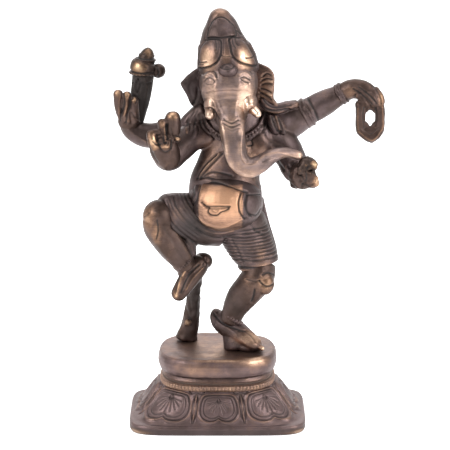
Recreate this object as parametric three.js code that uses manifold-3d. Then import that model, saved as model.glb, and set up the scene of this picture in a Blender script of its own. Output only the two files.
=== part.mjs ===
// A dancing elephant-headed figure in cast brass, on a drum and a lotus plinth.
// Millimetres, +Z up, the figure looks along -Y, and +X is the viewer's right.
// Each piece is cast or hammered by itself and brazed to its neighbours, so nothing moves.

import * as THREE from "three";
import { mergeVertices } from "three/addons/utils/BufferGeometryUtils.js";
import Module from "manifold-3d";

const wasm = await Module();
wasm.setup();

// ---------------------------------------------------------------------------------------
// Driving dimensions
// ---------------------------------------------------------------------------------------

const BRAZE_GAP = 0.3; // the thickness of the brazing seam between two castings

const PLINTH_WIDTH = 70.4;
const PLINTH_DEPTH = 50;
const PLINTH_CORNER = 10;
const SLAB_THICKNESS = 4.4;
const LOTUS_HEIGHT = 12;
const LOTUS_MARGIN = 1.4; // the slab's ledge outside the petals
const PETALS = 8;
const PETAL_SWELL = 0.03; // how far a petal's middle stands out, as a share of the radius
const SHELL_WALL = 3.2; // the wall of the hollow plinth

const DRUM_WIDTH = 47.6;
const DRUM_DEPTH = 41;
const DRUM_HEIGHT = 7.8;
const DRUM_BULGE = 1.6; // how far the drum's side stands out past its edges
const SQUARENESS = 2.8; // exponent of the drum's and collar's plan: 2 is an ellipse, more is squarer

const COLLAR_HEIGHT = 4.6;
const COLLAR_INSET = 0.6; // how far the collar's foot stands in from the drum's width

const FIGURE_HEIGHT = 136; // from the drum's top to the crown's tip
const MODELLED_HEIGHT = 136; // the height at which the figure's own points below are written
const ROUNDNESS = 10; // sides of a limb
const FINE_ROUNDNESS = 7; // sides of a finger

const FIGURE_ASIDE = 1.4; // how far the figure stands off the plinth's middle, along X

const RING_REACH = 1.2; // how far an anklet or an armband stands out of its limb
const ANKLET_WIDTH = 2;
const ARMBAND_WIDTH = 3.4;
const CUFF_WIDTH = 2.6;
const POST_RADIUS = 3.8;
const EAR_THICKNESS = 2.6;

// Places worked out from those
const LOTUS_FOOT = SLAB_THICKNESS;
const COLLAR_FOOT = LOTUS_FOOT + LOTUS_HEIGHT + BRAZE_GAP;
const DRUM_FOOT = COLLAR_FOOT + COLLAR_HEIGHT + BRAZE_GAP;
const DRUM_TOP = DRUM_FOOT + DRUM_HEIGHT;
const FIGURE_FOOT = DRUM_TOP + BRAZE_GAP;
const FIGURE_SCALE = FIGURE_HEIGHT / MODELLED_HEIGHT;

// ---------------------------------------------------------------------------------------
// Solids
// ---------------------------------------------------------------------------------------

const SEAM_HALF = BRAZE_GAP * 0.6; // from the middle of a flat seam to each of its faces
const FRONT = new THREE.Vector3(0, -1, 0);
const UPWARD = new THREE.Vector3(0, 0, 1);

/** The geometry with vertices closer than `tolerance` made one, and the triangles that vanish left out. */
function welded(geometry, tolerance) {
  const bare = geometry.index ? geometry.toNonIndexed() : geometry.clone();
  bare.deleteAttribute("normal");
  bare.deleteAttribute("uv");
  const merged = mergeVertices(bare, tolerance);
  const corners = merged.index.array;
  const kept = [];
  for (let i = 0; i < corners.length; i += 3) {
    const [a, b, c] = corners.slice(i, i + 3);
    if (a !== b && b !== c && c !== a) kept.push(a, b, c);
  }
  merged.setIndex(kept);
  return merged;
}

/** The solid of a closed geometry. */
function solid(geometry) {
  const { attributes, index } = welded(geometry, 1e-4);
  const vertProperties = new Float32Array(attributes.position.array);
  const triVerts = new Uint32Array(index.array);
  return new wasm.Manifold(new wasm.Mesh({ numProp: 3, vertProperties, triVerts }));
}

/** A solid back as a geometry with flat facets. */
function geometryOf(body) {
  const mesh = body.getMesh();
  const positions = new Float32Array(mesh.numVert * 3);
  for (let i = 0; i < mesh.numVert; i += 1) {
    positions.set(mesh.vertProperties.subarray(i * mesh.numProp, i * mesh.numProp + 3), i * 3);
  }
  const geometry = new THREE.BufferGeometry();
  geometry.setAttribute("position", new THREE.BufferAttribute(positions, 3));
  geometry.setIndex(new THREE.BufferAttribute(new Uint32Array(mesh.triVerts), 1));
  const faceted = welded(geometry, 2e-3).toNonIndexed();
  faceted.computeVertexNormals();
  return faceted;
}

const join = (first, ...rest) => rest.reduce((body, next) => body.add(next), first);
const cut = (first, ...rest) => rest.reduce((body, next) => body.subtract(next), first);

/** The largest of the separate bodies that a cut may leave. */
const largest = (body) => body.decompose().reduce((a, b) => (b.volume() > a.volume() ? b : a));

/**
 * A closed tube with one ring of corners for each row, between two poles.
 * It is a lathed can whose corners are then placed by place(row, angle, radius), radius 0 at a pole.
 */
function tube(rows, sides, place) {
  const can = [new THREE.Vector2(0, 0)];
  for (let row = 0; row < rows; row += 1) can.push(new THREE.Vector2(1, row));
  can.push(new THREE.Vector2(0, rows - 1));
  const geometry = new THREE.LatheGeometry(can, sides);
  const corner = new THREE.Vector3();
  const positions = geometry.attributes.position;
  for (let i = 0; i < positions.count; i += 1) {
    corner.fromBufferAttribute(positions, i);
    const radius = Math.hypot(corner.x, corner.z) < 0.5 ? 0 : 1;
    const put = place(Math.round(corner.y), Math.atan2(corner.z, corner.x), radius);
    positions.setXYZ(i, put.x, put.y, put.z);
  }
  return solid(geometry);
}

/** A superellipse's radius at an angle: half-width along X, half-depth along Y. */
function ovalRadius(halfWidth, halfDepth, squareness, angle) {
  const across = Math.abs(Math.cos(angle) / halfWidth) ** squareness;
  const along = Math.abs(Math.sin(angle) / halfDepth) ** squareness;
  return (across + along) ** (-1 / squareness);
}

/** Ovals stacked up the Z axis: rows of [z, half-width, half-depth, squareness], with an optional swell. */
function stack(rows, sides, swell = () => 0) {
  return tube(rows.length, sides, (row, angle, radius) => {
    const [z, halfWidth, halfDepth, squareness] = rows[row];
    const turn = -angle;
    const share = row / (rows.length - 1);
    const reach = radius * ovalRadius(halfWidth, halfDepth, squareness, turn) * (1 + swell(turn, share));
    return new THREE.Vector3(reach * Math.cos(turn), reach * Math.sin(turn), z);
  });
}

/** A smooth value between the stations of a list, at t from 0 to 1. */
function between(values, t) {
  const place = t * (values.length - 1);
  const i = Math.min(Math.floor(place), values.length - 2);
  const s = place - i;
  const at = (k) => values[Math.max(0, Math.min(values.length - 1, k))];
  const [a, b, c, d] = [at(i - 1), at(i), at(i + 1), at(i + 2)];
  return b + 0.5 * s * (c - a + s * (2 * a - 5 * b + 4 * c - d + s * (3 * (b - c) + d - a)));
}

/**
 * A limb: an oval section carried along a smooth curve through its stations.
 * A station is [x, y, z, half-width, half-depth]. Half-depth lies towards `face`.
 * The ends are domed over `domes` millimetres, and 0 leaves an end flat.
 * `from` and `upTo` are station numbers: there the limb ends flat, half a seam short of the station.
 * grow makes it that much fatter all over.
 */
function limb(stations, grow = 0, options = {}) {
  const { sides = ROUNDNESS, rings = 9, domes = [2, 2], face = FRONT } = options;
  const last = stations.length - 1;
  const { from = 0, upTo = last } = options;
  const points = stations.map(([x, y, z]) => new THREE.Vector3(x, y, z));
  const spine = new THREE.CatmullRomCurve3(points, false, "centripetal");
  const lengths = spine.getLengths(last * 20);
  const length = lengths[last * 20];
  const start = lengths[from * 20] + (from > 0 ? SEAM_HALF : 0);
  const stop = lengths[upTo * 20] - (upTo < last ? SEAM_HALF : 0);
  const round = [from > 0 ? 0 : domes[0], upTo < last ? 0 : domes[1]];
  const widths = stations.map((station) => station[3]);
  const depths = stations.map((station) => station[4]);
  const ways = [start, stop];
  for (let ring = 1; ring < rings; ring += 1) {
    const way = start + ((stop - start) * ring) / rings;
    if (way > start + round[0] && way < stop - round[1]) ways.push(way);
  }
  if (round[0]) ways.push(round[0] * 0.1, round[0] * 0.55);
  if (round[1]) ways.push(stop - round[1] * 0.1, stop - round[1] * 0.55);
  ways.sort((a, b) => a - b);
  const domed = (way, dome) => (way >= dome ? 1 : Math.sqrt(1 - (1 - way / dome) ** 2));
  return tube(ways.length, sides, (row, angle, radius) => {
    const way = ways[row];
    const t = spine.getUtoTmapping(way / length);
    const along = spine.getTangent(t);
    const side = new THREE.Vector3().crossVectors(along, face).normalize();
    const front = new THREE.Vector3().crossVectors(side, along);
    const size = domed(way - start, round[0]) * domed(stop - way, round[1]);
    const end = { 0: -grow, [ways.length - 1]: grow }[row] ?? 0;
    return spine
      .getPoint(t)
      .addScaledVector(side, radius * (between(widths, t) * size + grow) * Math.cos(angle))
      .addScaledVector(front, radius * (between(depths, t) * size + grow) * Math.sin(angle))
      .addScaledVector(along, end);
  });
}

/** A round finger through its points, from one radius to another. */
function taper(points, first, last, grow) {
  const stations = points.map((point, i) => {
    const radius = THREE.MathUtils.lerp(first, last, i / (points.length - 1));
    return [...point, radius, radius];
  });
  return limb(stations, grow, { sides: FINE_ROUNDNESS, rings: 3, domes: [1, 1.2] });
}

/** An ellipsoid at a centre, with half sizes along X, Y and Z, turned by an Euler angle. */
function blob([x, y, z], [a, b, c], grow = 0, turn = [0, 0, 0], detail = [12, 8]) {
  const geometry = new THREE.SphereGeometry(1, ...detail);
  geometry.rotateX(Math.PI / 2);
  geometry.scale(a + grow, b + grow, c + grow);
  geometry.applyMatrix4(new THREE.Matrix4().makeRotationFromEuler(new THREE.Euler(...turn)));
  geometry.translate(x, y, z);
  return solid(geometry);
}

/** A round-edged disc across a limb, which becomes a ring once the limb is cut out of it. */
function hoop([x, y, z], direction, width, halfWidth, halfDepth, grow = 0) {
  const half = new THREE.Vector3(...direction).setLength(width / 2);
  const edge = 0.86; // the hoop's size at its two faces, against its middle
  const side = (way) => {
    const centre = [x + half.x * way, y + half.y * way, z + half.z * way];
    return [...centre, halfWidth * edge, halfDepth * edge];
  };
  const stations = [side(-1), [x, y, z, halfWidth, halfDepth], side(1)];
  return limb(stations, grow, { sides: 12, rings: 2, domes: [0, 0] });
}

/**
 * A flat plate cut to a smooth outline of [x, z], standing at y with a bevelled rim.
 * It leans about an upright line at pivotX, and grow makes it that much fatter all over.
 */
function plate(outline, y, thickness, lean, pivotX, grow) {
  const shape = new THREE.Shape();
  shape.moveTo(...outline[0]);
  shape.splineThru([...outline.slice(1), outline[0]].map(([x, z]) => new THREE.Vector2(x, z)));
  const bevel = thickness * 0.3;
  const geometry = new THREE.ExtrudeGeometry(shape, {
    depth: thickness - 2 * bevel + 2 * grow,
    curveSegments: 3,
    bevelSegments: 1,
    bevelThickness: bevel,
    bevelSize: bevel,
    bevelOffset: grow - bevel,
  });
  geometry.rotateX(Math.PI / 2);
  geometry.translate(-pivotX, y + thickness / 2 - bevel + grow, 0);
  geometry.rotateZ(lean);
  geometry.translate(pivotX, 0, 0);
  return solid(geometry);
}

// ---------------------------------------------------------------------------------------
// The base: a hollow lotus plinth, a beaded collar and a drum
// ---------------------------------------------------------------------------------------

/** The slab with its round corners, the lotus that rises from it, and the hollow below them. */
function plinth() {
  const halfWidth = PLINTH_WIDTH / 2;
  const halfDepth = PLINTH_DEPTH / 2;
  const outline = new THREE.Shape();
  const inX = halfWidth - PLINTH_CORNER;
  const inY = halfDepth - PLINTH_CORNER;
  outline.moveTo(-inX, -halfDepth);
  outline.absarc(inX, -inY, PLINTH_CORNER, -Math.PI / 2, 0);
  outline.absarc(inX, inY, PLINTH_CORNER, 0, Math.PI / 2);
  outline.absarc(-inX, inY, PLINTH_CORNER, Math.PI / 2, Math.PI);
  outline.absarc(-inX, -inY, PLINTH_CORNER, Math.PI, Math.PI * 1.5);
  const edge = 0.7;
  const slab = new THREE.ExtrudeGeometry(outline, {
    depth: SLAB_THICKNESS - edge,
    curveSegments: 4,
    bevelSegments: 1,
    bevelThickness: edge,
    bevelSize: edge,
    bevelOffset: -edge,
  });
  const foot = cut(solid(slab), solid(new THREE.BoxGeometry(200, 200, 20).translate(0, 0, -10)));
  const lotus = [0, 0.35, 0.7, 1].map((rise) => {
    const shrink = rise ** 0.8;
    const width = THREE.MathUtils.lerp(halfWidth - LOTUS_MARGIN, DRUM_WIDTH / 2 - COLLAR_INSET, shrink);
    const depth = THREE.MathUtils.lerp(halfDepth - LOTUS_MARGIN, DRUM_DEPTH / 2 - COLLAR_INSET, shrink);
    return [LOTUS_FOOT + rise * LOTUS_HEIGHT, width, depth, SQUARENESS];
  });
  const petals = (turn, rise) => PETAL_SWELL * (1 - rise) * Math.abs(Math.cos((turn * PETALS) / 2));
  const sunk = [LOTUS_FOOT / 2, ...lotus[0].slice(1)];
  const bowl = stack([sunk, ...lotus], PETALS * 4, petals);
  const hollow = [-1, 0.3, 0.75].map((rise) => {
    const shrink = Math.max(0, rise) ** 0.8;
    const width = THREE.MathUtils.lerp(halfWidth, DRUM_WIDTH / 2, shrink) - LOTUS_MARGIN - SHELL_WALL;
    const depth = THREE.MathUtils.lerp(halfDepth, DRUM_DEPTH / 2, shrink) - LOTUS_MARGIN - SHELL_WALL;
    return [rise < 0 ? -1 : LOTUS_FOOT + rise * LOTUS_HEIGHT, width, depth, SQUARENESS];
  });
  return cut(join(foot, bowl), stack(hollow, 20));
}

/** The ring between the lotus and the drum, with its lower edge proud. */
function collar() {
  const halfWidth = DRUM_WIDTH / 2 - COLLAR_INSET;
  const halfDepth = DRUM_DEPTH / 2 - COLLAR_INSET;
  const profile = [
    [0, -0.3],
    [0.3, 0],
    [0.5, -0.9],
    [1, -1.3],
  ];
  const rows = profile.map(([rise, reach]) => {
    return [COLLAR_FOOT + rise * COLLAR_HEIGHT, halfWidth + reach, halfDepth + reach, SQUARENESS];
  });
  return stack(rows, 32);
}

/** The drum that the figure stands on, with a bulging side. */
function drum() {
  const profile = [
    [0, -DRUM_BULGE],
    [0.25, -0.5],
    [0.55, 0],
    [0.85, -0.9],
    [1, -2.8],
  ];
  const rows = profile.map(([rise, reach]) => {
    return [DRUM_FOOT + rise * DRUM_HEIGHT, DRUM_WIDTH / 2 + reach, DRUM_DEPTH / 2 + reach, SQUARENESS];
  });
  return stack(rows, 32);
}

// ---------------------------------------------------------------------------------------
// The figure, in its own frame: Z starts at the sole, and MODELLED_HEIGHT is at the crown
// Each form takes grow, so that its neighbours can be cut to leave room for the seam.
// The figure's right hand is on the viewer's left.
// ---------------------------------------------------------------------------------------

/** Everything under the sole, so that what stands on the drum ends flat on it. */
const belowSole = (grow) => solid(new THREE.BoxGeometry(200, 200, 40).translate(0, 0, -20 - grow));

const crown = (grow) => {
  const stations = [
    [3.2, -1, 113, 12.2, 12.5],
    [2.6, -0.8, 117.5, 11.6, 12],
    [1.9, -0.5, 121.5, 10.2, 10.5],
    [1.4, -0.3, 125.5, 8.3, 8.6],
    [0.8, 0, 129.5, 6.1, 6.3],
    [0.4, 0, 133, 4.2, 4.3],
    [0.2, 0, 136, 2.6, 2.6],
  ];
  return limb(stations, grow, { sides: 14, rings: 6, domes: [0.8, 2.2] });
};

const head = (grow) => {
  const skull = blob([3, -1, 107.5], [11.5, 12, 12.5], grow, [0, 0, 0], [12, 8]);
  const stations = [
    [3, -3, 114, 9.5, 9.5],
    [3, -4, 108.5, 11.3, 11.6],
    [3.2, -5.5, 102.5, 10.5, 11],
    [3.4, -8.5, 98, 8.2, 9],
    [3.9, -12.5, 94.5, 5.9, 6.4],
    [4.5, -16.5, 90, 4.8, 4.8],
    [5.5, -18, 84.2, 4.3, 4.2],
    [7, -19, 79.8, 4.1, 4],
    [10.5, -19.6, 77.2, 3.9, 3.8],
    [15, -19.2, 78.6, 3.5, 3.5],
    [19.5, -17.8, 81.3, 2.8, 2.9],
    [25, -16.2, 82.5, 2, 2.2],
    [31.5, -15.6, 80.8, 1.6, 1.6],
  ];
  const trunk = limb(stations, grow, { rings: 17, domes: [3, 1] });
  return join(skull, trunk);
};

const rightEar = (grow) => {
  const outline = [
    [-5, 114],
    [-10, 112],
    [-15.5, 107.5],
    [-14.6, 102.5],
    [-11, 98],
    [-6, 97],
  ];
  return plate(outline, 0, EAR_THICKNESS, 0.25, -6, grow);
};

const leftEar = (grow) => {
  const outline = [
    [11, 114],
    [18, 113.2],
    [21, 109.5],
    [20.5, 102],
    [22, 98.5],
    [17, 96.5],
    [11, 97],
  ];
  return plate(outline, 0, EAR_THICKNESS, -0.25, 12, grow);
};

const rightTusk = (grow) => {
  const stations = [
    [-3.6, -8, 101],
    [-5, -11.5, 99],
    [-4.4, -16, 96],
  ];
  return taper(stations, 1.9, 0.8, grow);
};

const leftTusk = (grow) => {
  const stations = [
    [10.5, -8, 101.5],
    [13.6, -12, 99.6],
    [16.6, -17, 96.5],
  ];
  return taper(stations, 2, 0.7, grow);
};

const jewel = (grow) => blob([3, -13, 114], [3.8, 3, 2.8], grow, [0, 0, 0], [10, 8]);

const belly = (grow) => blob([1.7, -4.5, 60.5], [15, 15, 11.5], grow, [0, 0, 0], [16, 10]);

const chest = (grow) => {
  const stations = [
    [4.8, 3, 99, 6.5, 6],
    [5, 2.5, 94.5, 8.5, 7.4],
    [5.5, 2, 89, 13, 8.2],
    [6, 1.5, 85, 14.5, 8.5],
    [4.7, 0, 79.5, 12, 8.8],
    [3, -1.5, 73.5, 12.6, 9.2],
    [1.8, -3, 64.5, 15.2, 10.8],
  ];
  return limb(stations, grow, { sides: 12, rings: 6, domes: [1, 1] });
};

const necklace = (grow) => {
  const stations = [
    [-6.5, 1, 92, 2.2, 2.2],
    [-4.5, -5, 88, 2, 2.2],
    [1, -7.5, 85.5, 2, 2.2],
    [7.5, -8, 84.5, 2, 2.2],
    [14, -6.5, 86, 2, 2.2],
    [19.5, -3.5, 88.5, 2, 2.2],
    [21, 2, 92, 2.2, 2.2],
  ];
  return limb(stations, grow, { sides: 6, rings: 8, domes: [1, 1] });
};

const FRONT_RIGHT = [
  [-4, 0, 87, 6, 6.6],
  [-11, -3, 86, 5.6, 6],
  [-16, -6, 82.4, 5.6, 5.8],
  [-20.2, -9.6, 79.2, 5.4, 5.6],
  [-21.6, -12.2, 82.6, 5.5, 5.2],
  [-21.6, -13.2, 86, 6, 4.8],
  [-21, -13.4, 90, 5.4, 3.6],
];

const frontRightArm = (grow) => limb(FRONT_RIGHT, grow, { rings: 7, domes: [1, 2], upTo: 4 });

const frontRightHand = (grow) => {
  const palm = limb(FRONT_RIGHT, grow, { rings: 3, domes: [1, 2], from: 4 });
  const first = taper([[-17.6, -13.5, 86.5], [-17.2, -14, 92.5], [-17.6, -14.2, 97.5]], 2, 1.7, grow);
  const second = taper([[-20.6, -13.5, 86.5], [-20.4, -14.2, 92.5], [-20.6, -14.4, 97]], 2, 1.7, grow);
  const third = taper([[-23, -13.5, 87], [-24, -14.5, 92], [-24.4, -14.5, 94.5]], 2, 1.7, grow);
  const folded = taper([[-24, -15, 84], [-27, -16, 87], [-28, -15, 91.5]], 2.7, 2.2, grow);
  return join(palm, first, second, third, folded);
};

const REAR_RIGHT = [
  [-3, 4, 87, 6, 6],
  [-12, 6.5, 86.2, 5, 5],
  [-22, 9, 84.8, 5, 4.8],
  [-29.6, 10, 84.2, 5, 4.8],
  [-35, 10, 86.6, 4.3, 4.4],
  [-36.9, 9.8, 91, 4.1, 4.2],
  [-37, 9, 94, 4.8, 4.2],
  [-36.4, 8.4, 97, 4, 3.4],
];

const rearRightArm = (grow) => limb(REAR_RIGHT, grow, { rings: 7, domes: [1, 2], upTo: 5 });

const rearRightHand = (grow) => {
  const palm = limb(REAR_RIGHT, grow, { rings: 3, domes: [1, 2], from: 5 });
  const first = taper([[-38.6, 8, 93], [-40.4, 6.8, 97.5], [-41.2, 6.4, 101.5]], 1.9, 1.5, grow);
  const second = taper([[-36.4, 7, 93], [-37.4, 5.8, 97], [-37.8, 5.4, 100]], 1.9, 1.6, grow);
  const third = taper([[-34, 6.4, 92], [-34.4, 5.2, 96], [-34.5, 5, 99]], 1.9, 1.6, grow);
  return join(palm, first, second, third);
};

const clubShaft = (grow) => {
  const stations = [
    [-33.6, 10, 89, 4, 3.6],
    [-32.4, 10, 97, 4.2, 3.6],
    [-31.6, 10, 103, 4.1, 3.6],
    [-31, 10, 108.2, 4, 3.6],
  ];
  return limb(stations, grow, { sides: 8, rings: 4, domes: [1, 0.6] });
};

const clubHead = (grow) => {
  const stations = [
    [-31, 10, 107.4, 4.6, 4.6],
    [-30.6, 10, 108.6, 5.2, 5],
    [-30.2, 10, 111.5, 5, 4.8],
    [-29.4, 10, 114.5, 3.4, 3.4],
    [-28.6, 10, 118.6, 1.4, 1.4],
  ];
  return limb(stations, grow, { sides: 8, rings: 5, domes: [0.6, 1] });
};

const clubKnob = (grow) => blob([-24.6, 10, 110], [3.2, 2.8, 2.8], grow, [0, 0, 0], [10, 7]);

const REAR_LEFT = [
  [14, 3, 87, 8, 7.5],
  [22, 4, 89, 8, 7.4],
  [29, 4.6, 91.8, 6.6, 6.2],
  [35, 5, 95, 5.3, 5.2],
  [41.5, 5, 98.5, 5, 4.8],
  [47.2, 4, 101.9, 3.8, 3.6],
  [51.6, 3, 104, 3.8, 3.6],
  [56.4, 1.5, 103.4, 3.7, 3.6],
  [60, 0, 100.2, 2.9, 3.2],
];

const rearLeftArm = (grow) => limb(REAR_LEFT, grow, { rings: 7, domes: [1, 2], upTo: 5 });

const rearLeftHand = (grow) => {
  const palm = limb(REAR_LEFT, grow, { rings: 4, domes: [1, 2], from: 5 });
  const finger = limb(
    [
      [59.6, 0, 100.6, 2.5, 2.3],
      [62.3, -1, 94, 2, 2],
      [62, -1.5, 88.6, 2, 2],
      [59.6, -2, 84.6, 1.8, 1.8],
    ],
    grow,
    { sides: FINE_ROUNDNESS, rings: 5, domes: [1, 1] },
  );
  const thumb = limb(
    [
      [54.4, 0.4, 100, 2.4, 2.3],
      [54.2, -1.2, 94, 1.9, 1.9],
      [54.9, -1.8, 88.6, 2, 1.9],
      [58.6, -2, 84.6, 1.9, 1.9],
    ],
    grow,
    { sides: FINE_ROUNDNESS, rings: 5, domes: [1, 1] },
  );
  const pinch = blob([58.6, -2, 86.4], [3, 1.8, 2.4], grow, [0, 0, 0], [8, 6]);
  return join(palm, finger, thumb, pinch);
};

const FRONT_LEFT = [
  [16, 1.5, 86, 8, 7.6],
  [23, 1, 83, 7, 7],
  [27, -1.5, 78, 6, 6.2],
  [28.6, -6.5, 74.6, 5.4, 5.6],
  [29.8, -10, 73.6, 4.9, 5.2],
  [31.6, -14, 73, 5.4, 5.2],
  [33.2, -17.2, 73, 4.8, 4.8],
];

const frontLeftArm = (grow) => limb(FRONT_LEFT, grow, { rings: 7, domes: [1, 2.5], upTo: 4 });

const frontLeftHand = (grow) => {
  const palm = limb(FRONT_LEFT, grow, { rings: 3, domes: [1, 2.5], from: 4 });
  const tips = blob([35.6, -17.5, 70.8], [2.6, 2.6, 2.4], grow, [0, 0, 0], [8, 6]);
  return join(palm, tips);
};

const sweet = (grow) => blob([33.4, -16.2, 77.6], [3.8, 3.8, 3.6], grow, [0, 0, 0], [10, 8]);

const dhoti = (grow) => {
  const hips = blob([4, -1, 52], [14, 12, 7.6], grow, [0, 0, 0], [12, 8]);
  const standing = [
    [7, 0, 52, 10.6, 11],
    [11.4, -2, 43, 9.5, 9.4],
    [14.4, -3.5, 37, 8.3, 8.4],
    [15.4, -4, 33.8, 7.8, 8],
  ];
  const raised = [
    [1, -1, 52, 10.5, 10.5],
    [-7.5, -3.5, 53, 10.2, 10],
    [-15, -7, 55, 9, 8.8],
    [-21, -10, 56.6, 7.6, 7.4],
  ];
  const drape = [
    [-7, -2, 49, 5.4, 6],
    [-9.8, -3, 44, 3.4, 4],
    [-11, -3.6, 40.6, 2, 2.6],
  ];
  return join(
    hips,
    limb(standing, grow, { rings: 4, domes: [3, 1] }),
    limb(raised, grow, { rings: 4, domes: [3, 1] }),
    limb(drape, grow, { sides: 8, rings: 3 }),
  );
};

const clothTail = (grow) => {
  const stations = [
    [15.4, 5, 60, 1.3, 3],
    [17.4, 5, 50, 1.6, 3.6],
    [20.2, 4, 41, 1.6, 3.8],
    [21.2, 3.6, 36.5, 1.5, 3.6],
  ];
  return limb(stations, grow, { sides: 8, rings: 5, domes: [1, 1] });
};

const raisedLeg = (grow) => {
  const knee = blob([-24.4, -12, 56.4], [6.3, 6.4, 6.4], grow, [0, 0, 0], [10, 7]);
  const stations = [
    [-24.5, -12, 56, 6, 6],
    [-22.6, -11.6, 51.5, 5.8, 5.8],
    [-20.2, -10.8, 45.6, 4.9, 5],
    [-17.2, -9.6, 40, 4, 4.2],
    [-13.8, -8.2, 35.4, 3.7, 3.8],
  ];
  return join(knee, limb(stations, grow, { rings: 5, domes: [1, 1] }));
};

const raisedFoot = (grow) => {
  const stations = [
    [-6.8, -3.6, 37, 3.2, 3.4],
    [-9.4, -5.6, 34.4, 4.3, 4.2],
    [-12.8, -8.6, 30, 4, 3.3],
    [-16.3, -11.6, 25.4, 3.2, 2.3],
    [-18.3, -13, 22.8, 2.3, 1.8],
  ];
  return limb(stations, grow, { rings: 7, domes: [1.6, 1.2] });
};

const standingLeg = (grow) => {
  const kneecap = blob([17.6, -9.6, 27.8], [3.6, 3.2, 4.4], grow, [0, 0, 0], [10, 8]);
  const stations = [
    [15, -4, 35, 7, 6.8],
    [14.4, -6, 30, 6.7, 6.6],
    [12.2, -5.8, 26, 6.4, 6.2],
    [9.3, -4.4, 21.6, 5.8, 5.8],
    [7, -3, 17.6, 5.1, 5.2],
    [5, -1.8, 13.6, 4.6, 4.8],
    [3.8, -1.2, 10.4, 4.2, 4.4],
  ];
  return join(kneecap, limb(stations, grow, { rings: 6, domes: [1, 1] }));
};

const standingFoot = (grow) => {
  const stations = [
    [-2.6, 2.2, 10.6, 3.2, 3.4],
    [1, 0.8, 9.4, 4.6, 4.6],
    [7.6, -2.8, 5.4, 4.8, 4.4],
    [12.8, -6.2, 2.9, 3.9, 2.8],
    [16.4, -8.6, 1.7, 2.7, 1.7],
  ];
  const block = [
    [3.6, -0.6, -1, 6.2, 5.4],
    [3.4, -0.4, 3, 5.2, 4.6],
    [3, -0.4, 8, 4.4, 4],
  ];
  const sole = limb(stations, grow, { rings: 6, domes: [1.6, 1.2] });
  const raised = limb(block, grow, { sides: 8, rings: 2, domes: [0, 1] });
  return cut(join(sole, raised), belowSole(grow));
};

const supportPost = (grow) => {
  const stations = [
    [-14, 7.4, -1, POST_RADIUS * 1.15, POST_RADIUS],
    [-13.4, 7.2, 3, POST_RADIUS * 0.95, POST_RADIUS * 0.9],
    [-12, 6.4, 9, POST_RADIUS * 0.95, POST_RADIUS * 0.85],
    [-10.6, 4.2, 22, POST_RADIUS * 0.8, POST_RADIUS * 0.8],
    [-9, 0.4, 31, POST_RADIUS * 0.78, POST_RADIUS * 0.78],
    [-8, -3, 36, POST_RADIUS * 0.7, POST_RADIUS * 0.7],
  ];
  const post = limb(stations, grow, { sides: 8, rings: 5, domes: [0, 1] });
  return cut(post, belowSole(grow));
};

/** A ring brazed round a limb at a station, standing out of it by `reach`. */
const ringAt = (centre, direction, width, halves, reach) => (grow) => {
  return hoop(centre, direction, width, halves[0] + reach, halves[1] + reach, grow);
};

const armband = ringAt([33.2, 4.9, 94], [6, 0.4, 3.3], ARMBAND_WIDTH, [5.7, 5.5], RING_REACH);
const wristCuff = ringAt([47, 4.1, 101.8], [5.6, -1, 3.4], CUFF_WIDTH, [4.1, 3.9], RING_REACH);
const standingAnklet = ringAt([4.6, -1.6, 12], [2.6, 0.8, 4], ANKLET_WIDTH, [4.6, 4.7], RING_REACH);
const raisedAnklet = ringAt([-15, -8.7, 37.2], [3.6, 1.5, -5], ANKLET_WIDTH, [4.2, 4.2], RING_REACH);

const rightLeaf = (grow) => blob([-11, -6.5, 86], [3.4, 4.4, 6], grow, [0.1, 0.35, 0.5], [8, 8]);
const leftLeaf = (grow) => blob([20.5, -5, 88], [3.6, 4, 6.2], grow, [0.1, -0.2, -0.4], [8, 8]);

// ---------------------------------------------------------------------------------------
// The pieces and their finishes
// ---------------------------------------------------------------------------------------

const finish = (colour, roughness) => {
  return new THREE.MeshStandardMaterial({ color: colour, roughness, metalness: 1 });
};
const BASE_BRASS = finish(0x6b5445, 0.5);
const FIGURE_BRASS = finish(0x77604e, 0.42);
const ORNAMENT_BRASS = finish(0x8a6a48, 0.38);
const POLISHED_BRASS = finish(0xa9805a, 0.3);

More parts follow.
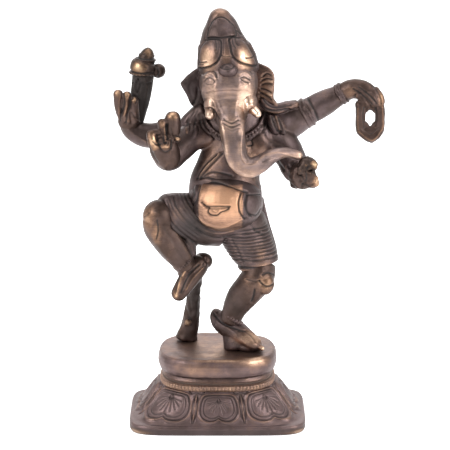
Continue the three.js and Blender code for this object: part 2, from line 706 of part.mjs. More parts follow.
// Each later piece is cut to leave a seam round every piece above it.
const FIGURE = [
  ["crown", crown, ORNAMENT_BRASS],
  ["head_and_trunk", head, FIGURE_BRASS],
  ["right_tusk", rightTusk, POLISHED_BRASS],
  ["left_tusk", leftTusk, POLISHED_BRASS],
  ["forehead_jewel", jewel, ORNAMENT_BRASS],
  ["right_ear", rightEar, FIGURE_BRASS],
  ["left_ear", leftEar, FIGURE_BRASS],
  ["belly", belly, POLISHED_BRASS],
  ["chest", chest, FIGURE_BRASS],
  ["necklace", necklace, ORNAMENT_BRASS],
  ["rear_left_hand", rearLeftHand, FIGURE_BRASS],
  ["rear_left_arm", rearLeftArm, FIGURE_BRASS],
  ["wrist_cuff", wristCuff, ORNAMENT_BRASS],
  ["armband", armband, ORNAMENT_BRASS],
  ["sweet", sweet, ORNAMENT_BRASS],
  ["front_left_hand", frontLeftHand, FIGURE_BRASS],
  ["front_left_arm", frontLeftArm, FIGURE_BRASS],
  ["front_right_hand", frontRightHand, FIGURE_BRASS],
  ["front_right_arm", frontRightArm, FIGURE_BRASS],
  ["right_shoulder_leaf", rightLeaf, ORNAMENT_BRASS],
  ["left_shoulder_leaf", leftLeaf, ORNAMENT_BRASS],
  ["club_knob", clubKnob, ORNAMENT_BRASS],
  ["club_head", clubHead, ORNAMENT_BRASS],
  ["rear_right_hand", rearRightHand, FIGURE_BRASS],
  ["club_shaft", clubShaft, ORNAMENT_BRASS],
  ["rear_right_arm", rearRightArm, FIGURE_BRASS],
  ["standing_leg", standingLeg, FIGURE_BRASS],
  ["standing_foot", standingFoot, FIGURE_BRASS],
  ["standing_anklet", standingAnklet, ORNAMENT_BRASS],
  ["raised_leg", raisedLeg, FIGURE_BRASS],
  ["raised_foot", raisedFoot, POLISHED_BRASS],
  ["raised_anklet", raisedAnklet, ORNAMENT_BRASS],
  ["dhoti", dhoti, FIGURE_BRASS],
  ["hip_cloth_tail", clothTail, FIGURE_BRASS],
  ["support_post", supportPost, BASE_BRASS],
];

const BASE = [
  ["lotus_plinth", plinth(), BASE_BRASS],
  ["beaded_collar", collar(), ORNAMENT_BRASS],
  ["drum", drum(), BASE_BRASS],
];

const group = new THREE.Group();
group.name = "dancing_elephant_headed_figure";

function add(name, body, material) {
  const mesh = new THREE.Mesh(geometryOf(body), material);
  mesh.name = name;
  group.add(mesh);
}

for (const [name, body, material] of BASE) add(name, body, material);

const above = [];
for (const [name, form, material] of FIGURE) {
  const whole = form(0);
  const body = largest(cut(whole, ...above));
  add(name, body.scale(FIGURE_SCALE).translate(FIGURE_ASIDE, 0, FIGURE_FOOT), material);
  above.push(join(whole, form(BRAZE_GAP / FIGURE_SCALE)));
}

// The origin is under the middle of the whole object's box.
const middle = new THREE.Box3().setFromObject(group).getCenter(new THREE.Vector3());
for (const mesh of group.children) mesh.geometry.translate(-middle.x, -middle.y, 0);

export default group;
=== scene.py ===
"""A dancing elephant-headed figure in cast brass, on a drum and a lotus plinth.

Lengths are in millimetres in the figure's own frame until a piece is finished: +Z is up, the
figure looks along -Y, +X is the viewer's right, and the origin is on the drum under the figure.
Every piece is a closed surface worked out with numpy. Bodies and limbs are ovals carried along a
path. They are fused where they meet, and then chased with lines and raised bosses as a brass
worker does, from an upright sheet that the lines are drawn on.
"""

import logging
import math
from dataclasses import dataclass, field
from enum import Enum
from typing import Any, Sequence

import bpy
import numpy as np
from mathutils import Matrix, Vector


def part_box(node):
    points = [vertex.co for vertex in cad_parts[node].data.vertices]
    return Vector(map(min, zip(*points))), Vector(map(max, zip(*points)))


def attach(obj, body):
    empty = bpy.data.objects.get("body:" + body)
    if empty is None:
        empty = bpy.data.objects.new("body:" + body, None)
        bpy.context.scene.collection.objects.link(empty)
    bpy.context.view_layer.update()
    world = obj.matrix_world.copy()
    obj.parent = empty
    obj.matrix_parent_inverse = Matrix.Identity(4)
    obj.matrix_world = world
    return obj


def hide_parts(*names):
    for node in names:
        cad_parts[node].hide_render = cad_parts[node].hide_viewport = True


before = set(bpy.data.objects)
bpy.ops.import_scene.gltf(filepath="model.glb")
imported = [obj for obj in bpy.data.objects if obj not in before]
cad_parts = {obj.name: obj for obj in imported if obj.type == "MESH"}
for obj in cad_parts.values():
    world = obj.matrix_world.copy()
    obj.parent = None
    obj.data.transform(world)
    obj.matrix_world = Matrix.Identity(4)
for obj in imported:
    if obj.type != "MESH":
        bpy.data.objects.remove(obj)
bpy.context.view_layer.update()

LOG = logging.getLogger("dancing_figure")

Array = np.ndarray
Point = tuple[float, float, float]
Spot = tuple[float, float]
Colour = tuple[float, float, float]

MM = 0.001
FIGURE_ASIDE = 1.4  # the figure stands this far off the plinth's middle, along X
SEAM = 0.3  # the brazing seam that the solids keep between them
DETAIL = 1.0

SEAT_X, SEAT_Y, SEAT_Z = 1.6, -750.0, 232.3  # the camera's place, in the figure's frame


def millimetres(node: str) -> tuple[Array, Array]:
    """The lowest and highest corners of a solid, in the row's frame, in millimetres."""
    low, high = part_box(node)
    return np.array(low) / MM, np.array(high) / MM


PLINTH_LOW, PLINTH_HIGH = millimetres("lotus_plinth")
COLLAR_LOW, COLLAR_HIGH = millimetres("beaded_collar")
DRUM_LOW, DRUM_HIGH = millimetres("drum")
PLINTH_MIDDLE = (PLINTH_LOW + PLINTH_HIGH) / 2
FIGURE_ORIGIN = np.array([PLINTH_MIDDLE[0] + FIGURE_ASIDE, PLINTH_MIDDLE[1], DRUM_HIGH[2] + SEAM])


# ---------------------------------------------------------------------------------------
# Curves and closed surfaces
# ---------------------------------------------------------------------------------------


def between(values: Array, t: Array) -> Array:
    """A smooth curve through rows of values: a cubic whose slope at a row is half the step
    from the row before to the row after.

    Args:
        values: the rows, (k, d).
        t: places along the rows, from 0 to k - 1.

    Returns:
        The values at those places, (n, d).
    """
    last = len(values) - 1
    i = np.clip(t.astype(int), 0, last - 1)
    s = (t - i)[:, None]
    a, b, c, d = (values[np.clip(i + k, 0, last)] for k in (-1, 0, 1, 2))
    return b + 0.5 * s * (c - a + s * (2 * a - 5 * b + 4 * c - d + s * (3 * (b - c) + d - a)))


def curved(points: Sequence[Spot], steps: int = 5, closed: bool = False) -> Array:
    """A smooth line through a few points of a sheet, closed on itself where asked."""
    rows = np.array(points, float)
    if closed:
        rows = np.vstack([rows[-1:], rows, rows[:2]])
        return between(rows, np.linspace(1, len(rows) - 2, (len(rows) - 3) * steps + 1))
    return between(rows, np.linspace(0, len(rows) - 1, (len(rows) - 1) * steps + 1))


def ramp(value: Array, low: float, high: float) -> Array:
    """0 below low, 1 above high, and a smooth s-curve between them."""
    t = np.clip((value - low) / (high - low), 0, 1)
    return t * t * (3 - 2 * t)


@dataclass
class Shell:
    """A closed surface: points (n, 3) and faces (m, 3) or (m, 4) of point numbers."""

    points: Array
    faces: Array

    def normals(self) -> Array:
        """The outward direction at each point: the sum of its faces' cross products, made 1 long.

        Returns:
            The directions, n by 3.
        """
        corner = self.points[self.faces]
        across = np.cross(corner[:, 2] - corner[:, 0], corner[:, -1] - corner[:, 1])
        if self.faces.shape[1] == 3:
            across = np.cross(corner[:, 1] - corner[:, 0], corner[:, 2] - corner[:, 0])
        who = self.faces.ravel()
        spread = np.repeat(across, self.faces.shape[1], axis=0)
        total = np.stack([np.bincount(who, spread[:, k], len(self.points)) for k in range(3)], 1)
        return total / np.maximum(np.linalg.norm(total, axis=1, keepdims=True), 1e-12)

    def around(self, values: Array) -> Array:
        """The mean of each point's neighbours, for values (n, d)."""
        a, b = self.faces.ravel(), np.roll(self.faces, -1, axis=1).ravel()
        n = len(self.points)
        count = np.bincount(a, minlength=n) + np.bincount(b, minlength=n)
        sums = [np.bincount(a, v[b], n) + np.bincount(b, v[a], n) for v in values.T]
        return np.stack(sums, 1) / np.maximum(count, 1)[:, None]

    def softened(self, rounds: int) -> "Shell":
        """The surface with its steps rubbed down: each round moves a point towards its neighbours'
        mean by 0.6 of the way and then back by 0.62, so nothing shrinks.

        Args:
            rounds: how many times it is rubbed down.

        Returns:
            The softened surface, with the same faces.
        """
        points = self.points
        for _ in range(rounds):
            points = points + 0.6 * (self.around(points) - points)
            points = points - 0.62 * (self.around(points) - points)
        return Shell(points, self.faces)

    def outward(self) -> "Shell":
        """The same surface with its faces turned outwards, as its enclosed volume tells."""
        a, b, c = (self.points[self.faces[:, k]] for k in range(3))
        if np.einsum("ij,ij->", a, np.cross(b, c)) > 0:
            return self
        return Shell(self.points, self.faces[:, ::-1])


def gridded(points: Array) -> Shell:
    """A closed surface from a grid (rows, sides, 3) that goes round along its sides. Its first and
    last rows each become one point.

    Args:
        points: the grid, rows by sides by 3.

    Returns:
        The closed surface.
    """
    rows, sides, _ = points.shape
    number = 1 + np.arange((rows - 2) * sides).reshape(rows - 2, sides)
    number = np.vstack([np.zeros((1, sides), int), number, np.full((1, sides), number[-1, -1] + 1)])
    beside = np.roll(number, -1, axis=1)
    a, b, c, d = number[:-1], beside[:-1], beside[1:], number[1:]
    faces = np.concatenate([np.stack([a, b, c], -1).reshape(-1, 3), np.stack([a, c, d], -1).reshape(-1, 3)])
    whole = (faces[:, 0] != faces[:, 1]) & (faces[:, 1] != faces[:, 2]) & (faces[:, 0] != faces[:, 2])
    flat = np.vstack([points[0].mean(0), points[1:-1].reshape(-1, 3), points[-1].mean(0)])
    return Shell(flat, faces[whole]).outward()


def oval(angle: Array, half_width: Array, half_depth: Array, square: Array) -> tuple[Array, Array]:
    """A superellipse by angle: cosine and sine each raised to 2 / square, so 2 is an ellipse."""
    c, s = np.cos(angle), np.sin(angle)
    power = 2 / square
    return half_width * np.sign(c) * abs(c) ** power, half_depth * np.sign(s) * abs(s) ** power


def limb(
    stations: Sequence[Sequence[float]],
    grow: float = 0.0,
    domes: Spot = (2.0, 2.0),
    square: float = 2.0,
    face: Point = (0, -1, 0),
    rings: int = 60,
    sides: int = 40,
) -> Shell:
    """An oval carried along the smooth curve through its stations.

    Args:
        stations: rows of x, y, z, half-width and half-depth; the half-depth lies towards face.
        grow: how much fatter it is all over.
        domes: the length over which each end is rounded off, as a quarter circle.
        square: the oval's exponent, 2 for an ellipse.
        face: the direction that the oval's depth looks along.
        rings: ovals along the path.
        sides: points round each oval.

    Returns:
        The closed surface.
    """
    rows = np.array(stations, float)
    rough = np.linspace(0, len(rows) - 1, 400)
    way = np.r_[0, np.cumsum(np.linalg.norm(np.diff(between(rows, rough)[:, :3], axis=0), axis=1))]
    turn = np.linspace(0, math.pi / 2, 7)
    first, last = domes[0] * (1 - np.cos(turn)), way[-1] - domes[1] * (1 - np.cos(turn))
    at = np.unique(np.r_[first, np.linspace(domes[0], way[-1] - domes[1], rings), last].round(4))
    at = np.clip(at, 0, way[-1])
    found = between(rows, np.interp(at, way, rough))
    along = np.gradient(found[:, :3], at, axis=0)
    along /= np.linalg.norm(along, axis=1, keepdims=True)
    side = np.cross(along, np.array(face, float))
    side /= np.linalg.norm(side, axis=1, keepdims=True)
    front = np.cross(side, along)
    gaps = ((at, domes[0]), (way[-1] - at, domes[1]))
    ends = [1 - np.clip(1 - gap / max(dome, 1e-6), 0, 1) ** 2 for gap, dome in gaps]
    size = np.sqrt(ends[0] * ends[1])
    angle = np.linspace(0, 2 * math.pi, sides, endpoint=False)[None]
    across, deep = oval(
        angle, (found[:, 3] * size + grow)[:, None], (found[:, 4] * size + grow)[:, None], square
    )
    points = found[:, None, :3] + across[..., None] * side[:, None] + deep[..., None] * front[:, None]
    points[0], points[-1] = found[0, :3] - along[0] * grow, found[-1, :3] + along[-1] * grow
    return gridded(points)


def taper(points: Sequence[Point], first: float, last: float) -> Shell:
    """A round finger through its points, from one radius to another."""
    sizes = np.linspace(first, last, len(points))
    stations = [[*p, r, r] for p, r in zip(points, sizes)]
    return limb(stations, domes=(first * 0.8, last * 0.95), rings=24, sides=20)


def blob(centre: Point, halves: Point, turn: float = 0.0) -> Shell:
    """An ellipsoid: a latitude and a longitude, scaled by its half sizes and turned about Y.

    Args:
        centre: its middle.
        halves: its half sizes along X, Y and Z.
        turn: the turn about Y, in radians.

    Returns:
        The closed surface.
    """
    up = np.linspace(-math.pi / 2, math.pi / 2, 28)[:, None]
    round_it = np.linspace(0, 2 * math.pi, 40, endpoint=False)[None]
    shape = np.stack(
        [np.cos(up) * np.cos(round_it), np.cos(up) * np.sin(round_it), np.sin(up) + 0 * round_it], -1
    )
    shape = shape * np.array(halves)
    c, s = math.cos(turn), math.sin(turn)
    return gridded(shape @ np.array([[c, 0, -s], [0, 1, 0], [s, 0, c]]) + np.array(centre))


def torus(centre: Point, axis: Point, halves: Spot, thick: Spot, turns: int = 0, notch: float = 0.0) -> Shell:
    """A ring: a small oval carried round a large one, with notched beads where turns is set.

    Args:
        centre: the ring's middle.
        axis: the direction through its hole.
        halves: the large oval's half sizes, across and towards the front.
        thick: the small oval's half sizes, outwards and along the axis.
        turns: beads round the ring.
        notch: how much of the small oval the gap between two beads takes away.

    Returns:
        The closed surface, which is a solid disc where thick reaches its middle.
    """
    along = np.array(axis, float) / np.linalg.norm(axis)
    side = np.cross(along, [0, -1, 0])
    side /= np.linalg.norm(side)
    front = np.cross(side, along)
    big = np.linspace(0, 2 * math.pi, 240, endpoint=False)[None]
    small = np.linspace(-math.pi / 2, math.pi / 2, 22)[:, None]
    bead = 1 - notch * (0.5 + 0.5 * np.cos(big * turns)) ** 3 if turns else 1 + 0 * big
    reach = thick[0] * np.cos(small) * bead
    lift = thick[1] * np.sin(small) * (1 + 0 * big)
    points = (
        np.array(centre)
        + ((halves[0] + reach) * np.cos(big))[..., None] * side
        + ((halves[1] + reach) * np.sin(big))[..., None] * front
        + lift[..., None] * along
    )
    caps = np.array(centre) + thick[1] * np.array([-1, 1])[:, None, None] * along + 0 * points[:1]
    return gridded(np.concatenate([caps[:1], points, caps[1:]]))


# ---------------------------------------------------------------------------------------
# Chasing
# ---------------------------------------------------------------------------------------


class Sheet(Enum):
    """Where a line is drawn: on an upright sheet in front of the figure, behind it or beside it."""

    FRONT = (0, -1, 0)
    BACK = (0, 1, 0)
    VIEWER_LEFT = (-1, 0, 0)
    VIEWER_RIGHT = (1, 0, 0)

    def seen(self, points: Array) -> Array:
        """Each point's place on the sheet. The front one stands at y = 0 and is looked at from the
        camera's place, so places on it are where the line of sight crosses it.

        Args:
            points: places in space, n by 3.

        Returns:
            Places on the sheet, n by 2.
        """
        if self is Sheet.FRONT:
            near = SEAT_Y / (SEAT_Y - points[:, 1])
            return np.stack(
                [SEAT_X + (points[:, 0] - SEAT_X) * near, SEAT_Z + (points[:, 2] - SEAT_Z) * near], 1
            )
        return points[:, [0, 2]] if self is Sheet.BACK else points[:, [1, 2]]

    def facing(self, points: Array, normals: Array) -> Array:
        """1 where the surface looks at the sheet, and 0 where it looks away."""
        way = np.array(self.value, float) + 0 * points
        if self is Sheet.FRONT:
            way = np.array([SEAT_X, SEAT_Y, SEAT_Z]) - points
            way /= np.linalg.norm(way, axis=1, keepdims=True)
        return ramp(np.einsum("ij,ij->i", way, normals), 0.02, 0.3)


@dataclass(frozen=True)
class Line:
    """A line chased into the metal, or raised on it where its depth is below 0."""

    path: Sequence[Spot]
    width: float = 0.45
    depth: float = 0.35
    closed: bool = False

    def mark(self) -> float:
        """How dark a cut line is, or how bright a raised one: steep ones show most."""
        steep = abs(self.depth) / self.width
        return min(0.9, 0.72 * steep) if self.depth > 0 else min(0.5, 0.35 * steep)

    def away(self, spots: Array) -> tuple[Array, Array]:
        """Which spots lie near the line, and how far each of those is from it: the least of its
        distances to the line's straight pieces.

        Args:
            spots: places on the sheet, n by 2.

        Returns:
            Whether each spot is near, and the distances of those that are.
        """
        way = curved(self.path, closed=self.closed)
        reach = 3 * self.width
        near = np.all((spots > way.min(0) - reach) & (spots < way.max(0) + reach), axis=1)
        gap = spots[near][:, None] - way[:-1]
        piece = np.diff(way, axis=0)
        share = np.clip((gap * piece).sum(-1) / np.maximum((piece**2).sum(-1), 1e-9), 0, 1)
        return near, np.sqrt(((gap - share[..., None] * piece) ** 2).sum(-1)).min(1)


@dataclass(frozen=True)
class Boss:
    """A pillow raised inside a closed outline, with a rounded shoulder of the given width."""

    outline: Sequence[Spot]
    rise: float = 1.0
    shoulder: float = 2.0

    def lift(self, spots: Array) -> tuple[Array, Array]:
        """The rise at each spot inside the outline: a quarter circle over the shoulder. A spot is
        inside where a ray to the right of it crosses the outline an odd number of times.

        Args:
            spots: places on the sheet, n by 2.

        Returns:
            Whether each spot is near, and the rise of those that are.
        """
        line = Line(self.outline, width=0.4, closed=True)
        near, gap = line.away(spots)
        way = curved(self.outline, closed=True)
        x, z = spots[near].T
        (x0, z0), (x1, z1) = way[:-1].T[..., None], way[1:].T[..., None]
        with np.errstate(divide="ignore", invalid="ignore"):
            crossed = ((z0 > z) != (z1 > z)) & (x < (x1 - x0) * (z - z0) / (z1 - z0) + x0)
        inside = crossed.sum(0) % 2 == 1
        share = np.clip(gap / self.shoulder, 0, 1)
        return near, inside * self.rise * np.sqrt(1 - (1 - share) ** 2)


@dataclass(frozen=True)
class Band:
    """A line that runs right round a limb, where a plane cuts it."""

    centre: Point
    axis: Point
    width: float = 0.5
    depth: float = 0.4
    reach: float = 9.0


@dataclass(frozen=True)
class WearAndLightPatch:
    """An ellipsoid patch that fades out over its half sizes. It marks rubbed wear, painted highlights and
    painted shade.
    """

    centre: Point
    halves: Point
    strength: float = 1.0

    def amount(self, points: Array) -> Array:
        """How much of the patch each point gets: a bell that falls off over the half sizes."""
        away = (((points - np.array(self.centre)) / np.array(self.halves)) ** 2).sum(1)
        return self.strength * np.exp(-away)


def voxel_fused(parts: Sequence[Shell], voxel: float) -> Shell:
    """Closed surfaces made one by Blender's voxel remesh: what lies inside another vanishes.

    Args:
        parts: the closed surfaces to join.
        voxel: the size of a cell, in millimetres.

    Returns:
        The one surface.
    """
    counts = np.cumsum([0] + [len(p.points) for p in parts])
    draft = bpy.data.meshes.new("draft")
    faces = np.concatenate([p.faces + n for p, n in zip(parts, counts)])
    draft.from_pydata(np.concatenate([p.points for p in parts]), [], faces.tolist())
    block = bpy.data.objects.new("draft", draft)
    bpy.context.scene.collection.objects.link(block)
    fuse = block.modifiers.new("fuse", "REMESH")
    fuse.mode = "VOXEL"
    fuse.voxel_size = voxel * DETAIL
    made = block.evaluated_get(bpy.context.evaluated_depsgraph_get()).to_mesh()
    points = np.empty(len(made.vertices) * 3, np.float32)
    made.vertices.foreach_get("co", points)
    corners = np.empty(len(made.loops), np.int32)
    made.loops.foreach_get("vertex_index", corners)
    bpy.data.objects.remove(block)
    bpy.data.meshes.remove(draft)
    return Shell(points.reshape(-1, 3).astype(float), corners.reshape(-1, 4)).outward()


class Casting:
    """A piece on the bench: its surface, its wear with painted highlights, and its soot with painted shade."""

    def __init__(self, shell: Shell) -> None:
        """Takes a closed surface in the figure's frame."""
        self.shell = shell
        self.wear_and_highlight = np.zeros(len(shell.points))
        self.soot_and_shade = np.zeros(len(shell.points))

    @classmethod
    def fused(cls, parts: Sequence[Shell], voxel: float = 0.36, rounds: int = 5) -> "Casting":
        """One body from overlapping closed surfaces, with its joins rubbed down.

        Args:
            parts: the closed surfaces.
            voxel: the side of the fine cubes that the body is rebuilt from.
            rounds: how long it is rubbed.

        Returns:
            The casting.
        """
        return cls(voxel_fused(parts, voxel).softened(rounds))

    def push(self, move: Array) -> None:
        """Moves each point along its outward direction."""
        self.shell.points = self.shell.points + self.shell.normals() * move[:, None]

    def chase(self, lines: Sequence[Line], sheet: Sheet = Sheet.FRONT) -> "Casting":
        """Cuts and raises lines. A line's section is a bell: its depth times e to the power of
        minus the squared distance over the squared width.

        Args:
            lines: the lines to cut, or to raise where their depth is below 0.
            sheet: the sheet that they are drawn on.

        Returns:
            This casting, so that calls can be chained.
        """
        spots, move = sheet.seen(self.shell.points), np.zeros(len(self.shell.points))
        facing = sheet.facing(self.shell.points, self.shell.normals())
        for line in lines:
            near, gap = line.away(spots)
            share = np.exp(-((gap / line.width) ** 2)) * facing[near]
            move[near] -= line.depth * share
            side = self.soot_and_shade if line.depth > 0 else self.wear_and_highlight
            side[near] = np.maximum(side[near], share * line.mark())
        self.push(move)
        return self

    def emboss(self, bosses: Sequence[Boss], sheet: Sheet = Sheet.FRONT) -> "Casting":
        """Raises pillows inside their outlines.

        Args:
            bosses: the pillows to raise.
            sheet: the sheet that they are drawn on.

        Returns:
            This casting, so that calls can be chained.
        """
        spots, move = sheet.seen(self.shell.points), np.zeros(len(self.shell.points))
        facing = sheet.facing(self.shell.points, self.shell.normals())
        for boss in bosses:
            near, lift = boss.lift(spots)
            move[near] += lift * facing[near]
        self.push(move)
        return self

    def band(self, bands: Sequence[Band]) -> "Casting":
        """Cuts or raises lines that go right round, by each point's distance from a plane.

        Args:
            bands: the lines to cut, or to raise where their depth is below 0.

        Returns:
            This casting, so that calls can be chained.
        """
        move = np.zeros(len(self.shell.points))
        for band in bands:
            out = self.shell.points - np.array(band.centre)
            gap = out @ (np.array(band.axis) / np.linalg.norm(band.axis))
            within = 1 - ramp(np.linalg.norm(out, axis=1), band.reach * 0.8, band.reach)
            share = np.exp(-((gap / band.width) ** 2)) * within
            move -= band.depth * share
            side = self.soot_and_shade if band.depth > 0 else self.wear_and_highlight
            cut = min(1.0, 0.8 * band.depth / band.width)
            raised = -0.25 * band.depth / band.width
            strength = cut if band.depth > 0 else raised
            np.maximum(side, share * strength, out=side)
        self.push(move)
        return self

    def dent(self, size: float, depth: float, seed: float = 0.0) -> "Casting":
        """Gives the skin a hand-worked unevenness: three waves in slanting directions multiplied
        together, with hollows about size apart.

        Args:
            size: the length of a wave, in millimetres.
            depth: how far the skin moves at most.
            seed: shifts the waves.

        Returns:
            This casting, so that calls can be chained.
        """
        p = self.shell.points * (2 * math.pi / size)
        a = np.sin(p @ [0.9, 0.3, 0.2] + seed) + np.sin(p @ [-0.3, 0.8, 0.5] + 1.7 * seed + 2)
        b = np.sin(p @ [0.2, -0.6, 0.9] + 2.3 * seed + 4) + np.sin(p @ [0.7, 0.6, -0.4] + 1)
        self.push(depth * a * b * 0.25)
        return self

    def tarnish(self, amount: float) -> "Casting":
        """Dulls the whole piece."""
        self.wear_and_highlight -= amount
        return self

    def add_soot_and_shade(self, wear_and_light_patches: Sequence[WearAndLightPatch]) -> "Casting":
        """Darkens the patches: painted shade where shadow falls on the figure, and plainly darker metal in a
        few places.
        """
        for patch in wear_and_light_patches:
            self.soot_and_shade = np.maximum(self.soot_and_shade, patch.amount(self.shell.points))
        return self

    def polish_and_highlight(self, wear_and_light_patches: Sequence[WearAndLightPatch]) -> "Casting":
        """Brightens the patches: metal rubbed bright by hands, and painted highlights."""
        for patch in wear_and_light_patches:
            self.wear_and_highlight = np.maximum(self.wear_and_highlight, patch.amount(self.shell.points))
        return self

    def read_relief(self) -> None:
        """Adds what the shape itself says: the surface against a much softened one of itself
        tells its ridges, which are worn, from its hollows, which are dark."""
        soft = self.shell.points
        for _ in range(14):
            soft = self.shell.around(soft)
        height = np.einsum("ij,ij->i", self.shell.points - soft, self.shell.normals())
        self.wear_and_highlight = np.clip(self.wear_and_highlight + 0.4 * ramp(height, 0.12, 0.6), -0.6, 1)
        self.soot_and_shade = np.clip(self.soot_and_shade + 0.6 * ramp(-height, 0.06, 0.5), 0, 1)

    def dress(
        self, name: str, finish: "Brass", *nodes: str, origin: Array = FIGURE_ORIGIN, read: bool = True
    ) -> bpy.types.Object:
        """Makes the Blender object, in metres in the row's frame.

        Args:
            name: the piece's name.
            finish: the brass finish that it gets.
            nodes: the solids that it stands for.
            origin: where the piece's own frame lies in the row's.
            read: whether the relief itself adds wear and soot, which wants even faces.

        Returns:
            The finished object.
        """
        if read:
            self.read_relief()
        mesh = bpy.data.meshes.new(name)
        places, faces = (self.shell.points + origin) * MM, self.shell.faces
        mesh.vertices.add(len(places))
        mesh.vertices.foreach_set("co", places.astype(np.float32).ravel())
        mesh.loops.add(faces.size)
        mesh.loops.foreach_set("vertex_index", faces.astype(np.int32).ravel())
        mesh.polygons.add(len(faces))
        mesh.polygons.foreach_set("loop_start", np.arange(0, faces.size, faces.shape[1], dtype=np.int32))
        mesh.update(calc_edges=True)
        mesh.polygons.foreach_set("use_smooth", np.ones(len(faces), bool))
        for label, values in (("wear_and_highlight", self.wear_and_highlight), ("soot_and_shade", self.soot_and_shade)):
            layer = mesh.attributes.new(label, "FLOAT", "POINT")
            layer.data.foreach_set("value", values.astype(np.float32))
        mesh.materials.append(finish.material())
        piece = bpy.data.objects.new(name, mesh)
        bpy.context.scene.collection.objects.link(piece)
        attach(piece, "root")
        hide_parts(*nodes)
        triangles = len(faces) * (faces.shape[1] - 2)
        LOG.info("%s: %d triangles, %s", name, triangles, finish.slot)
        return piece


# ---------------------------------------------------------------------------------------
# Brass
# ---------------------------------------------------------------------------------------


class Wire:
    """One socket of a material, so that sums on it read as Python and add Math nodes."""

    def __init__(self, bench: "Bench", socket: bpy.types.NodeSocket) -> None:
        """Keeps the socket and the bench that makes its nodes."""
        self.bench, self.socket = bench, socket

    def _math(self, operation: str, first: Any, second: Any) -> "Wire":
        """One Math node."""
        return self.bench.node("ShaderNodeMath", {"operation": operation}, {0: first, 1: second})

    def __add__(self, other: Any) -> "Wire":
        """self + other."""
        return self._math("ADD", self, other)

    def __radd__(self, other: Any) -> "Wire":
        """other + self."""
        return self._math("ADD", other, self)

    def __sub__(self, other: Any) -> "Wire":
        """self - other."""
        return self._math("SUBTRACT", self, other)

    def __rsub__(self, other: Any) -> "Wire":
        """other - self."""
        return self._math("SUBTRACT", other, self)

    def __mul__(self, other: Any) -> "Wire":
        """self * other."""
        return self._math("MULTIPLY", self, other)

    def __rmul__(self, other: Any) -> "Wire":
        """other * self."""
        return self._math("MULTIPLY", other, self)

    def eased(self, low: float, high: float) -> "Wire":
        """0 below low, 1 above high, and an s-curve between."""
        settings = {"interpolation_type": "SMOOTHSTEP"}
        return self.bench.node(
            "ShaderNodeMapRange", settings, {"Value": self, "From Min": low, "From Max": high}
        )


class Bench:
    """A material being put together."""

    def __init__(self, name: str) -> None:
        """Starts a material with nothing but its output."""
        self.material = bpy.data.materials.new(name)
        self.material.use_nodes = True
        self.tree = self.material.node_tree
        self.tree.nodes.clear()

    def node(self, kind: str, settings: dict[str, Any], inputs: dict[Any, Any], output: Any = 0) -> Wire:
        """Adds any node.

        Args:
            kind: the node's type.
            settings: its properties, which are set first.
            inputs: a value or a Wire for each socket, by name or number.
            output: the socket that comes back, by name or number.

        Returns:
            The wire from that socket.
        """
        made = self.tree.nodes.new(kind)
        for key, value in settings.items():
            setattr(made, key, value)
        for key, value in inputs.items():
            if isinstance(value, Wire):
                self.tree.links.new(value.socket, made.inputs[key])
            else:
                made.inputs[key].default_value = (*value, 1.0) if self._is_colour(
                    made.inputs[key], value
                ) else value
        return Wire(self, made.outputs[output])

    @staticmethod
    def _is_colour(socket: bpy.types.NodeSocket, value: Any) -> bool:
        """Whether three numbers go into a colour socket, which wants a fourth."""
        return socket.type == "RGBA" and len(value) == 3

    def mixed(self, share: Any, first: Any, second: Any) -> Wire:
        """A colour between two, by share."""
        return self.node("ShaderNodeMix", {"data_type": "RGBA"}, {0: share, 6: first, 7: second}, 2)

    def noise(self, where: Wire, scale: float, detail: float = 3.0, rough: float = 0.5) -> Wire:
        """Cloudy noise, about 0.5 on average; scale is in waves for each metre."""
        inputs = {"Vector": where, "Scale": scale, "Detail": detail, "Roughness": rough}
        return self.node("ShaderNodeTexNoise", {}, inputs, "Fac")


